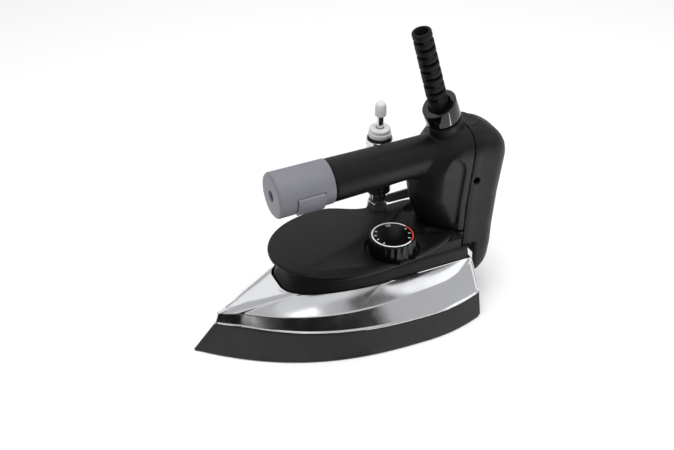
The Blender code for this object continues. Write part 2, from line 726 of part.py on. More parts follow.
def make_dial():
    foot, top = PLATE_Z - WELL_DEPTH + DIAL_FOOT, DIAL_TOP_Z
    ring = []
    for i in range(DIAL_FLUTES * 2):
        radius = DIAL_RADIUS if i % 2 == 0 else DIAL_RADIUS - 0.0008
        ring.append((DIAL[0] + radius * math.cos(math.pi * i / DIAL_FLUTES),
                     DIAL[1] + radius * math.sin(math.pi * i / DIAL_FLUTES)))
    top_ring = circle(DIAL_RADIUS - 0.0014, DIAL, DIAL_FLUTES * 2)
    rings = [[(x, y, foot) for x, y in ring], [(x, y, top - 0.0012) for x, y in ring],
             [(x, y, top) for x, y in top_ring]]
    knob = add_object("dial_knob", loft(rings), BLACK_GLOSS)
    seat = top - SCALE_THICKNESS - GAP
    cut(knob, rod(SCALE_RADIUS + GAP, seat, top + 0.001, (*DIAL, 0), steps=32))
    cut(knob, rod(SPINDLE_RADIUS + GAP, foot - 0.001, top - 0.0036, (*DIAL, 0), steps=16))
    scale = rod(SCALE_RADIUS, seat + GAP, top, (*DIAL, 0), steps=32)
    add_object("dial_scale", scale, BLACK_GLOSS)


def make_fuse():
    y = DIAL[1] + 0.002
    spot = (-0.013, y, SOLE_HEIGHT + 0.0036)
    profile = [(0, 0), (0.001, 0), (0.001, 0.004), (0.003, 0.005), (0.003, 0.018),
               (0.001, 0.019), (0.001, 0.023), (0, 0.023)]
    add_object("thermal_fuse", turned(profile, spot, (1, 0, 0), steps=10), STEEL)


# ---------------------------------------------------------------- handle

CAP_FACE = Vector((0, REAR - CAP_FACE_FROM_REAR, GRIP_AXIS_Z))
GRIP_AXIS = Vector((0, math.cos(GRIP_TILT), math.sin(GRIP_TILT)))
JUNCTION = CAP_LENGTH + GAP


COLUMN_SHARES = (0, 0.12, 0.24, 0.38, 0.56, 0.71, 0.80, 0.87, 0.93, 0.975, 1)
COVER_SHARES = (0, 0.024, 0.08, 0.24, 0.41, 0.60, 0.74, 0.82, 0.88, 0.925, 0.962, 0.988, 1)


def spread(shares, low, high):
    return [low + (high - low) * share for share in shares]


def seam_y(z):
    """Where the handle's column ends and the rear cover starts."""
    return REAR - SEAM_FROM_REAR + SEAM_LEAN * (z - SEAM_FOOT_Z)


def rounded_half(z):
    """Half the width of the column and the rear cover, rounded over the top."""
    reach = max(0.0, (z - (COLUMN_TOP_Z - 0.024)) / 0.024)
    flare = COLUMN_FLARE * max(0.0, (0.090 - z) / 0.022)
    return (COLUMN_HALF_WIDTH + flare) * (1 - min(reach, 0.985) ** 3) ** (1 / 3)


def column_front(z):
    """The column's front edge: forward up to the grip, and back again over its top."""
    share = min(1.0, (z - PLATE_Z) / 0.030)
    foot, waist = REAR - COLUMN_FOOT_FROM_REAR, REAR - COLUMN_WAIST_FROM_REAR
    over = max(0.0, (z - COLUMN_SHOULDER_Z) / (COLUMN_TOP_Z - COLUMN_SHOULDER_Z))
    top = REAR - COLUMN_TOP_FROM_REAR
    return foot + (waist - foot) * math.sin(share * math.pi / 2) + (top - waist) * over


def column_ring(z, inset=0.0, rear=None):
    """One level section: an elliptic front and straight sides back to the seam."""
    half = rounded_half(z) - inset
    rear = seam_y(z) if rear is None else rear
    front = column_front(z) + inset
    foot = 1 - min(1.0, (z - PLATE_Z) / 0.030)
    shoulder = front + (rear - front) * (0.62 + 0.22 * foot)
    sharpness = 1 + 2 * foot
    side = [(half * math.sin(a), shoulder - (shoulder - front) * math.cos(a) ** sharpness, z)
            for a in (math.radians(3 + 86.9 * i / 7) for i in range(8))]
    return mirrored(side + [(half, rear, z)])


def grip_point(distance, sideways=0.0, up=0.0):
    """A point by its distance behind the cap's face, along the grip's own axis."""
    normal = Vector((0, -math.sin(GRIP_TILT), math.cos(GRIP_TILT)))
    return CAP_FACE + distance * GRIP_AXIS + Vector((sideways, 0, 0)) + up * normal


def grip_ring(distance, radius, steps=20):
    return [grip_point(distance, radius * math.cos(math.tau * i / steps),
                       radius * math.sin(math.tau * i / steps)) for i in range(steps)]


GRIP_END = CAP_FACE_FROM_REAR - 0.018
GLAND = Vector((0, REAR - GLAND_FROM_REAR, GLAND_Z))
GLAND_AXIS = Vector((0, -math.sin(GLAND_LEAN), math.cos(GLAND_LEAN)))
GLAND_SIDE = Vector((0, math.cos(GLAND_LEAN), math.sin(GLAND_LEAN)))


def make_handle():
    radius = GRIP_RADIUS - CAP_TAPER - GRIP_STEP
    rings = [grip_ring(JUNCTION, radius - 0.0005), grip_ring(JUNCTION + 0.0006, radius),
             grip_ring(JUNCTION + 0.030, radius - 0.3 * GRIP_TAPER),
             grip_ring(JUNCTION + 0.060, radius - 0.9 * GRIP_TAPER),
             grip_ring(GRIP_END, radius - GRIP_TAPER)]
    handle = add_object("handle", loft(rings), BAKELITE)
    levels = spread(COLUMN_SHARES, PLATE_Z + GAP, COLUMN_TOP_Z)
    join(handle, loft([column_ring(z) for z in levels]))
    join(handle, turned([(0, -0.024), (BOSS_RADIUS - 0.0008, -0.024), (BOSS_RADIUS, -GAP),
                         (0, -GAP)], GLAND, GLAND_AXIS, steps=24))
    cut(handle, rod(BOSS_RADIUS + 0.0020, -GAP, 0.030, GLAND, GLAND_AXIS, steps=21))
    trim_behind_seam(handle)
    hollow_handle(handle)


def trim_behind_seam(handle):
    """Cuts away what reaches behind the seam, so that the rear cover closes it."""
    low, high = 0.050, 0.180
    outline = [(seam_y(low), low), (REAR + 0.060, low), (REAR + 0.060, high),
               (seam_y(high), high)]
    sides = [[(x, y, z) for y, z in outline] for x in (-0.040, 0.040)]
    cut(handle, loft(sides))


def hollow_handle(handle):
    bore = GRIP_RADIUS - GRIP_WALL
    web = JUNCTION + WEB_FROM_JUNCTION
    back = web + WEB_THICKNESS
    cut(handle, rod(bore, JUNCTION - 0.001, web, CAP_FACE, GRIP_AXIS, steps=20))
    cut(handle, rod(bore, back, GRIP_END - 0.004, CAP_FACE, GRIP_AXIS, steps=20))
    cut(handle, rod(INSERT_RADIUS + GAP, web - 0.001, back + 0.001, CAP_FACE, GRIP_AXIS,
                    steps=12))
    cut(handle, rod(0.0022, web - 0.001, back + 0.001, grip_point(0, 0, -0.0080), GRIP_AXIS,
                    steps=10))
    join(handle, pipe(SPIGOT_RADIUS, SPIGOT_RADIUS - SPIGOT_WALL, JUNCTION - SPIGOT_LENGTH,
                      web - 0.002, CAP_FACE, GRIP_AXIS, steps=24))
    floor = PLATE_Z + COLUMN_FLOOR
    levels = spread((0, 0.31, 0.60, 0.80, 0.92, 1), floor, COLUMN_TOP_Z - 0.006)
    cavity = [column_ring(z, COLUMN_WALL, seam_y(z) + 0.010) for z in levels]
    cut(handle, loft(cavity))
    cut(handle, rod(NIPPLE_RADIUS + LOOSE, -0.020, 0.004, GLAND, GLAND_AXIS, steps=20))
    for x, y in HANDLE_SCREWS:
        cut(handle, rod(M4_RADIUS + SCREW_GAP, PLATE_Z - 0.001, PLATE_Z + COLUMN_FLOOR - 0.0015,
                        (x, y, 0), steps=12))
    half, front, rear = WIRE_SLOT
    cut(handle, box((-half, front, PLATE_Z - 0.001), (half, rear, floor + 0.002)))
    for side in (1, -1):
        lug = box((0.0125, SIDE_SCREW[0] - 0.012, SIDE_SCREW[1] - 0.005),
                  (0.0185, SIDE_SCREW[0] + 0.004, SIDE_SCREW[1] + 0.005))
        bridge = box((0.0125, SIDE_SCREW[0] - 0.012, SIDE_SCREW[1] - 0.005),
                     (0.0232, seam_y(SIDE_SCREW[1]) - 0.0005, SIDE_SCREW[1] + 0.005))
        for tool in (lug, bridge):
            bmesh.ops.scale(tool, vec=(side, 1, 1), verts=tool.verts)
            join(handle, tool)
        cut(handle, rod(M3_RADIUS + SCREW_GAP, 0.0100, 0.0200,
                        (0, *SIDE_SCREW), (side, 0, 0), steps=10))
    x, y, z = LEAD_ENTRY
    cut(handle, rod(0.0022, -0.003, 0.010, (x, y, z), (1, 0, 0), steps=10))


SIDE_SCREW = (REAR + 0.0010, PLATE_Z + 0.042)
INSERT_RADIUS = 0.0033
SPIGOT_RADIUS = GRIP_RADIUS - CAP_WALL - LOOSE
LEAD_ENTRY = (-COLUMN_HALF_WIDTH, REAR - 0.0165, PLATE_Z + 0.024)


def make_cap():
    outer, inner = GRIP_RADIUS, GRIP_RADIUS - CAP_WALL
    hole = M4_RADIUS + SCREW_GAP
    cap = turned([(hole, CAP_SCREW_RECESS), (CAP_SCREW_RECESS, CAP_SCREW_RECESS),
                  (CAP_SCREW_RECESS, 0), (outer - CAP_EDGE, 0), (outer - 0.0007, 0.0007),
                  (outer, CAP_EDGE), (outer - CAP_TAPER, CAP_LENGTH), (inner, CAP_LENGTH),
                  (inner, CAP_FRONT_WALL), (hole, CAP_FRONT_WALL)],
                 CAP_FACE, GRIP_AXIS, steps=30, closed=True)
    piece = add_object("handle_cap", cap, GREY_ABS)
    cut(piece, button_block(BUTTON_LENGTH, BUTTON_WIDTH, 0.012, 0.030))


def button_frame():
    """Local +X points out through the button, +Y runs back along the grip."""
    roll = Matrix.Rotation(-BUTTON_ANGLE, 4, "Y")
    tilt = Matrix.Rotation(GRIP_TILT, 4, "X")
    return Matrix.Translation(CAP_FACE) @ tilt @ roll


def button_block(length, width, low, high, start=BUTTON_FROM_FACE):
    return box((low, start, -width / 2), (high, start + length, width / 2), button_frame())


def make_button():
    slack = LOOSE
    cap_inner = GRIP_RADIUS - CAP_WALL
    start, length = BUTTON_FROM_FACE + slack, BUTTON_LENGTH - 2 * slack
    outer = rod(GRIP_RADIUS + BUTTON_PROUD, 0.001, CAP_LENGTH, CAP_FACE, GRIP_AXIS, steps=48)
    button = add_object("trigger_button", outer, GREY_ABS)
    body = button_block(length, BUTTON_WIDTH - 2 * slack, 0.004, 0.030, start)
    combine(button, body, "INTERSECT")
    flange = add_object("flange", rod(cap_inner - LOOSE, 0.0065, CAP_LENGTH - SPIGOT_LENGTH - 0.001,
                                      CAP_FACE, GRIP_AXIS, steps=36), GREY_ABS)
    wide = button_block(length + 0.004, BUTTON_WIDTH + 0.002, 0.006, 0.030, start - 0.002)
    combine(flange, wide, "INTERSECT")
    shape = bmesh.new()
    shape.from_mesh(flange.data)
    bpy.data.objects.remove(flange, do_unlink=True)
    join(button, shape)
    cut(button, rod(BUTTON_INSIDE, 0.001, CAP_LENGTH, CAP_FACE, GRIP_AXIS, steps=36))


BUTTON_INSIDE = GRIP_RADIUS - CAP_WALL - LOOSE - 0.0020
SWITCH_FACE = 0.0078
PLUNGER_FROM_FACE = 0.0265
SPRING_FROM_FACE = 0.0170
SWITCH_LENGTH = 0.0125


def make_switch():
    """A plunger switch on a carrier plate; the spring stands in front of it."""
    frame = button_frame()
    carrier_low, carrier_top = 0.0026, 0.0038
    carrier = add_object("switch_carrier", box((carrier_low, 0.0120, -0.0085),
                                               (carrier_top, 0.0350, 0.0085), frame), BAKELITE)
    cut(carrier, box((carrier_low - 0.001, 0.0330, -0.002), (carrier_top + 0.001, 0.0360, 0.002),
                     frame))
    base = carrier_top + GAP
    start = PLUNGER_FROM_FACE - SWITCH_LENGTH / 2 + 0.0005
    body = add_object("switch_body", box((base, start, -0.0050),
                                         (SWITCH_FACE, start + SWITCH_LENGTH, 0.0050), frame),
                      BLACK_GLOSS)
    socket = Matrix.Translation((0, PLUNGER_FROM_FACE, 0))
    bore = rod(0.0017, 0.0050, 0.0100, direction=(1, 0, 0), steps=12)
    bmesh.ops.transform(bore, matrix=frame @ socket, verts=bore.verts)
    cut(body, bore)
    plunger = rod(0.0013, 0.0050 + BUTTON_TRAVEL + 0.0002, BUTTON_INSIDE - LOOSE,
                  direction=(1, 0, 0), steps=12)
    bmesh.ops.transform(plunger, matrix=frame @ socket, verts=plunger.verts)
    add_object("switch_plunger", plunger, SILICONE)
    seat = Matrix.Translation((0, SPRING_FROM_FACE, 0))
    coil = helix(0.0019, 0.0003, base + 0.0004, BUTTON_INSIDE - 0.0007, 5, frame @ seat
                 @ Matrix.Rotation(math.pi / 2, 4, "Y"))
    add_spring("button_spring", coil, 0.0003)


def helix(radius, thickness, low, high, turns, matrix, per_turn=8):
    low, high = low + thickness, high - thickness
    count = turns * per_turn
    return [matrix @ Vector((radius * math.cos(math.tau * i / per_turn),
                             radius * math.sin(math.tau * i / per_turn),
                             low + (high - low) * i / count)) for i in range(count + 1)]


def add_spring(name, points, thickness):
    data = bpy.data.curves.new(name, "CURVE")
    data.dimensions = "3D"
    line = data.splines.new("POLY")
    line.points.add(len(points) - 1)
    for point, place in zip(line.points, points):
        point.co = (*place, 1)
    data.bevel_depth = thickness
    data.bevel_resolution = 0
    data.use_fill_caps = True
    data.materials.append(material(STEEL))
    bpy.context.scene.collection.objects.link(bpy.data.objects.new(name, data))


def make_cap_fixings():
    web = JUNCTION + WEB_FROM_JUNCTION
    insert = pipe(INSERT_RADIUS, M4_RADIUS + SCREW_GAP, web + GAP, web + WEB_THICKNESS - GAP,
                  CAP_FACE, GRIP_AXIS, steps=12)
    add_object("cap_insert", insert, BRASS)
    head = 0.0018
    seat = CAP_SCREW_RECESS - GAP
    screw = turned([(0, seat - head), (0.0036, seat - head), (0.0036, seat), (M4_RADIUS, seat),
                    (M4_RADIUS, web + WEB_THICKNESS), (0, web + WEB_THICKNESS + 0.0015)],
                   CAP_FACE, GRIP_AXIS, steps=12)
    add_object("cap_screw", screw, STEEL)


# ---------------------------------------------------------------- rear cover

def cover_back(z):
    """The rear cover's back: it leans out going up and rounds over at the top."""
    share = (z - COVER_FOOT_Z) / (COVER_SHOULDER_Z - COVER_FOOT_Z)
    lean = COVER_BACK_FOOT + (COVER_BACK_TOP - COVER_BACK_FOOT) * min(share, 1.0) ** 0.75
    over = max(0.0, (z - COVER_SHOULDER_Z) / (COLUMN_TOP_Z - COVER_SHOULDER_Z))
    under = max(0.0, (COVER_FOOT_Z + 0.008 - z) / 0.008)
    return REAR + lean * (1 - 0.62 * min(over, 1.0) ** 2.6) - 0.003 * under ** 2


def cover_ring(z, inset=0.0, front=None):
    front = seam_y(z) + GAP if front is None else front
    half = rounded_half(z) - inset
    back = cover_back(z) - inset
    corner = min(COVER_CORNER - inset, half * 0.8, (back - front) * 0.8)
    side = [(half, front, z)]
    side += [(half - corner + corner * math.cos(a), back - corner + corner * math.sin(a), z)
             for a in (math.radians(15 * i) for i in range(6))]
    side.append((half * 0.06, back, z))
    return mirrored(side)


def make_rear_cover():
    levels = spread(COVER_SHARES, COVER_FOOT_Z, COLUMN_TOP_Z)
    cover = add_object("rear_cover", loft([cover_ring(z) for z in levels]), BAKELITE)
    inside = spread((0, 0.06, 0.23, 0.62, 0.81, 0.93, 1), COVER_FOOT_Z + COVER_WALL,
                    COLUMN_TOP_Z - 2 * COVER_WALL)
    cut(cover, loft([cover_ring(z, COVER_WALL, seam_y(z) - 0.006) for z in inside]))
    heel = REAR + SKIRT_GAP
    cut(cover, box((-0.040, 0.050, 0.010), (0.040, heel, NOTCH_Z)))
    for side in (1, -1):
        cut(cover, rod(0.0027, 0.0190, 0.0300, (0, *SIDE_SCREW), (side, 0, 0), steps=14))


def make_rear_screws():
    for name, side in (("left", 1), ("right", -1)):
        head, root = 0.0186 + GAP, 0.0130
        screw = turned([(0, root), (M3_RADIUS, root), (M3_RADIUS, head), (0.0023, head),
                        (0.0023, head + 0.0016), (0, head + 0.0020)],
                       (0, *SIDE_SCREW), (side, 0, 0), steps=12)
        add_object("rear_screw_" + name, screw, STEEL)


# ---------------------------------------------------------------- cord gland

def make_gland():
    nipple = turned([(NIPPLE_BORE, -0.014), (NIPPLE_RADIUS, -0.014), (NIPPLE_RADIUS, GAP),
                     (0.0100, GAP), (0.0106, 0.0028), (NIPPLE_RADIUS, 0.0028),
                     (NIPPLE_RADIUS, 0.0082), (NIPPLE_BORE, 0.0082)],
                    GLAND, GLAND_AXIS, steps=20, closed=True)
    add_object("gland_nipple", nipple, STEEL)
    collar = turned([(0.0112, 0.0006), (COLLAR_RADIUS - 0.0003, 0.0006), (COLLAR_RADIUS, 0.0012),
                     (COLLAR_RADIUS, COLLAR_LENGTH - 0.0010),
                     (COLLAR_RADIUS - 0.0010, COLLAR_LENGTH),
                     (BOOT_RADIUS + 0.0008, COLLAR_LENGTH), (BOOT_RADIUS + 0.0008, 0.0132),
                     (0.0112, 0.0132)], GLAND, GLAND_AXIS, steps=22, closed=True)
    for vert in collar.verts:
        if (vert.co - GLAND).dot(GLAND_AXIS) > COLLAR_LENGTH - 0.0015:
            forward = 1 - (vert.co - GLAND).dot(GLAND_SIDE) / COLLAR_RADIUS
            vert.co -= GLAND_AXIS * COLLAR_DROP * forward / 2
    add_object("gland_collar", collar, BLACK_GLOSS)
    make_boot()


def boot_frame(distance):
    """Centre and direction at a distance along the boot, which straightens as it rises."""
    lean = GLAND_LEAN + (BOOT_LEAN - GLAND_LEAN) * min(1.0, max(0.0, distance) / 0.010)
    direction = Vector((0, -math.sin(lean), math.cos(lean)))
    centre = GLAND + GLAND_AXIS * 0.0128
    steps = 12
    for i in range(steps):
        part = distance * (i + 0.5) / steps
        turn = GLAND_LEAN + (BOOT_LEAN - GLAND_LEAN) * min(1.0, max(0.0, part) / 0.010)
        centre = centre + Vector((0, -math.sin(turn), math.cos(turn))) * distance / steps
    return centre, direction


def boot_ring(distance, radius, steps=10):
    centre, direction = boot_frame(distance)
    up = Vector((0, direction.z, -direction.y))
    return [centre + radius * (math.cos(math.tau * i / steps) * Vector((1, 0, 0))
                               + math.sin(math.tau * i / steps) * up) for i in range(steps)]


def make_boot():
    body = BOOT_LENGTH + 0.0062
    rings = [boot_ring(-0.0038, BOOT_BORE), boot_ring(-0.0038, 0.0106),
             boot_ring(-0.0004, 0.0106), boot_ring(-0.0002, BOOT_RADIUS)]
    start = 0.0090
    pitch = (body - start) / BOOT_RIBS
    for i in range(BOOT_RIBS):
        low = start + pitch * i
        radius = BOOT_RADIUS * (1 - BOOT_TAPER * i / BOOT_RIBS)
        groove = radius - BOOT_GROOVE
        rings += [boot_ring(low, groove), boot_ring(low + 0.0008, radius),
                  boot_ring(low + pitch - 0.0016, radius), boot_ring(low + pitch - 0.0010, groove)]
    rings[-1] = boot_ring(body, BOOT_RADIUS * (1 - BOOT_TAPER))
    rings += [boot_ring(body, BOOT_BORE), boot_ring(0.010, BOOT_BORE)]
    add_object("cord_boot", loft(rings, closed=True), RUBBER)


# ---------------------------------------------------------------- flow valve

VALVE_BASE = (*VALVE, 0)
HEX_RADIUS = 0.0079


def hexagon(radius, low, high):
    return prism([(VALVE[0] + radius * math.cos(math.pi / 3 * i + 0.3),
                   VALVE[1] + radius * math.sin(math.pi / 3 * i + 0.3)) for i in range(6)],
                 low, high)


def make_valve_fittings():
    foot = PLATE_Z + GAP
    base = add_object("valve_base", hexagon(HEX_RADIUS, foot, VALVE_HEX_Z), CHROME)
    join(base, rod(0.0034, CEILING_Z + 0.001, foot + 0.001, VALVE_BASE, steps=12))
    cut(base, rod(0.0015, CEILING_Z - 0.001, VALVE_HEX_Z + 0.001, VALVE_BASE, steps=10))
    cut(base, rod(SPIGOT_BORE, foot + 0.002, VALVE_HEX_Z + 0.001, VALVE_BASE, steps=16))
    low, high = VALVE_HEX_Z + 0.0014, VALVE_CAN_FOOT_Z - 0.0005
    ring = []
    for i in range(36):
        radius = VALVE_NUT_RADIUS if i % 2 == 0 else VALVE_NUT_RADIUS - 0.0004
        ring.append((VALVE[0] + radius * math.cos(math.pi * i / 18),
                     VALVE[1] + radius * math.sin(math.pi * i / 18)))
    nut = add_object("valve_nut", prism(ring, low, high), CHROME)
    cut(nut, rod(SPIGOT_BORE, low - 0.001, high + 0.001, VALVE_BASE, steps=16))


SPIGOT_OUTER = 0.0042
SPIGOT_BORE = SPIGOT_OUTER + 0.0004


def make_valve_can():
    foot, top = VALVE_CAN_FOOT_Z, VALVE_CAN_TOP_Z
    outer, inner = VALVE_RADIUS, VALVE_RADIUS - VALVE_CAN_WALL
    can = turned([(0.0012, PLATE_Z + 0.0027), (SPIGOT_OUTER, PLATE_Z + 0.0027),
                  (SPIGOT_OUTER, foot), (outer - 0.0008, foot), (outer, foot + 0.0008),
                  (outer, top - 0.0034), (outer - 0.0005, top - 0.0030),
                  (outer, top - 0.0024), (outer, top), (inner, top), (inner, foot + 0.0020),
                  (0.0012, foot + 0.0020)], VALVE_BASE, steps=20, closed=True)
    body = add_object("valve_body", can, CHROME)
    inlet_z = top - 0.014
    inlet = (VALVE[0], VALVE[1], inlet_z)
    cut(body, rod(0.0034, outer - 0.003, outer + 0.002, inlet, INLET_AXIS, steps=12))
    cut(body, rod(0.0018, outer - 0.003, outer + 0.002, (*VALVE, foot + 0.0045), (0, 1, 0),
                  steps=10))
    start = outer - VALVE_CAN_WALL + GAP
    barb = [(0.0016, start), (0.0031, start), (0.0031, outer + GAP), (0.0048, outer + GAP),
            (0.0048, outer + 0.0022), (0.0026, outer + 0.0026), (0.0034, outer + 0.0050),
            (0.0026, outer + 0.0072), (0.0034, outer + 0.0080), (0.0026, outer + 0.0110),
            (0.0016, outer + 0.0110)]
    add_object("water_inlet", turned(barb, inlet, INLET_AXIS, steps=14, closed=True), BRASS)


INLET_AXIS = (-0.9, 0.436, 0)


def make_valve_inside():
    foot, top = VALVE_CAN_FOOT_Z + 0.0020, VALVE_CAN_TOP_Z
    coil = pipe(0.0078, 0.0042, foot + 0.0066, top - 0.0160, VALVE_BASE, steps=20)
    add_object("valve_coil", coil, COPPER)
    low = foot + GAP
    armature_top = low + 0.0130
    armature = turned([(0, low), (0.0020, low), (ARMATURE_RADIUS, low + 0.0015),
                       (ARMATURE_RADIUS, armature_top), (0, armature_top)],
                      VALVE_BASE, steps=16)
    add_object("valve_armature", armature, STEEL)
    stem_foot = armature_top + 0.0090
    coil_line = helix(0.0022, 0.0003, armature_top + 0.0003, stem_foot - 0.0004, 5,
                      Matrix.Translation(VALVE_BASE))
    add_spring("armature_spring", coil_line, 0.0003)
    stem = turned([(0, stem_foot), (STEM_RADIUS, stem_foot), (STEM_RADIUS, STEM_TOP_Z - 0.0005),
                   (STEM_RADIUS - 0.0005, STEM_TOP_Z), (0, STEM_TOP_Z)], VALVE_BASE, steps=16)
    add_object("valve_stem", stem, CHROME)


def make_valve_top():
    top = VALVE_CAN_TOP_Z
    ring_z = top + 0.0011
    groove = 0.0076
    ring = []
    for i in range(6):
        angle = math.tau * i / 6
        ring.append((groove + 0.0010 + 0.0008 * math.cos(angle), ring_z + 0.0008 * math.sin(angle)))
    add_object("valve_o_ring", turned(ring, VALVE_BASE, steps=18, closed=True), RUBBER)
    bore = STEM_RADIUS + 0.0004
    shoulder = top + 0.0022
    bonnet = [(bore, top - 0.0060), (groove - 0.0003, top - 0.0060), (groove - 0.0003, shoulder),
              (0.0085, shoulder), (0.00875, shoulder + 0.0006), (0.00875, shoulder + 0.0030),
              (0.0079, shoulder + 0.0034), (0.0082, shoulder + 0.0040),
              (0.0082, BONNET_TOP_Z - 0.0008), (0.0074, BONNET_TOP_Z), (bore, BONNET_TOP_Z)]
    add_object("valve_bonnet", turned(bonnet, VALVE_BASE, steps=20, closed=True), WHITE_NYLON)


def make_valve_knob():
    flutes = 12
    foot, top = KNOB_FOOT_Z, KNOB_TOP_Z
    levels = [(foot, 0.94), (foot + 0.0006, 1.0), (top - 0.0040, 0.97), (top - 0.0020, 0.86),
              (top - 0.0008, 0.66), (top, 0.30)]
    rings = []
    for z, share in levels:
        ring = []
        for i in range(flutes * 2):
            depth = 0.0005 if i % 2 and z < top - 0.003 else 0.0
            radius = KNOB_RADIUS * share - depth
            ring.append((VALVE[0] + radius * math.cos(math.pi * i / flutes),
                         VALVE[1] + radius * math.sin(math.pi * i / flutes), z))
        rings.append(ring)
    knob = add_object("valve_knob", loft(rings), WHITE_NYLON)
    cut(knob, rod(STEM_RADIUS + GAP, foot - 0.001, STEM_TOP_Z + GAP, VALVE_BASE, steps=16))


BRACKET_Z = VALVE_HEX_Z + GAP


def make_bracket():
    """A steel strip that ties the valve to the column's right side."""
    low, thickness = BRACKET_Z, 0.0008
    bracket = add_object("valve_bracket", pipe(0.0090, SPIGOT_BORE, low, low + thickness,
                                               VALVE_BASE, steps=20), GREY_PAINT)
    outer = -(COLUMN_HALF_WIDTH + COLUMN_FLARE) - 0.0006
    inner = outer - 0.0016
    front, rear = VALVE[1] + 0.0070, BRACKET_SCREW[0] + 0.006
    profile = [(front, low), (front + 0.004, low - 0.0045), (rear, low - 0.0045),
               (rear, low + 0.0050), (front + 0.004, low + 0.0028), (front, low + thickness)]
    join(bracket, loft([[(x, y, z) for y, z in profile] for x in (inner, outer)]))
    cut(bracket, rod(M3_RADIUS + SCREW_GAP, 0.020, 0.040, (0, *BRACKET_SCREW), (-1, 0, 0),
                     steps=10))
    head = -inner + GAP
    screw = turned([(0, 0.0215), (M3_RADIUS, 0.0215), (M3_RADIUS, head), (0.0027, head),
                    (0.0025, head + 0.0016), (0, head + 0.0019)],
                   (0, *BRACKET_SCREW), (-1, 0, 0), steps=12)
    add_object("bracket_screw", screw, STEEL)
    handle = bpy.data.objects["handle"]
    cut(handle, rod(M3_RADIUS + SCREW_GAP, 0.0205, 0.0300, (0, *BRACKET_SCREW), (-1, 0, 0),
                    steps=10))


BRACKET_SCREW = (REAR - 0.0135, BRACKET_Z - 0.0002)


# ---------------------------------------------------------------- pipe, terminal block, leads

BLOCK = ((-0.0135, REAR - 0.0282, PLATE_Z + 0.022), (0.0140, REAR - 0.0185, PLATE_Z + 0.033))


def make_pipe():
    x, y = pipe_landing()
    end = SOLE_HEIGHT + GASKET_THICKNESS + 0.0010
    points = [(VALVE[0], VALVE[1], CEILING_Z + 0.0004), (VALVE[0], VALVE[1], CEILING_Z - 0.0035),
              (VALVE[0] + 0.0028, VALVE[1] - 0.0025, CEILING_Z - 0.0085),
              (VALVE[0] + 0.0058, VALVE[1] - 0.0065, CEILING_Z - 0.0150),
              (*PIPE_PASS, BOARD_Z + 0.0030),
              (PIPE_PASS[0] + 0.001, PIPE_PASS[1] - 0.002, SOLE_HEIGHT + 0.0127),
              (x - 0.0035, y + 0.016, SOLE_HEIGHT + 0.0097), (x, y + 0.004, SOLE_HEIGHT + 0.0087),
              (x, y, SOLE_HEIGHT + 0.0062), (x, y, end)]
    wire("water_pipe", points, PIPE_RADIUS - GAP, COPPER, sides=2, steps=3)


def make_terminal_block():
    block = add_object("terminal_block", box(*BLOCK), WHITE_NYLON)
    low, high = BLOCK
    for x in (-0.010, 0.0, 0.010):
        y = (low[1] + high[1]) / 2
        cut(block, rod(0.0022, low[2] - 0.001, low[2] + 0.004, (x, y, 0), steps=8))


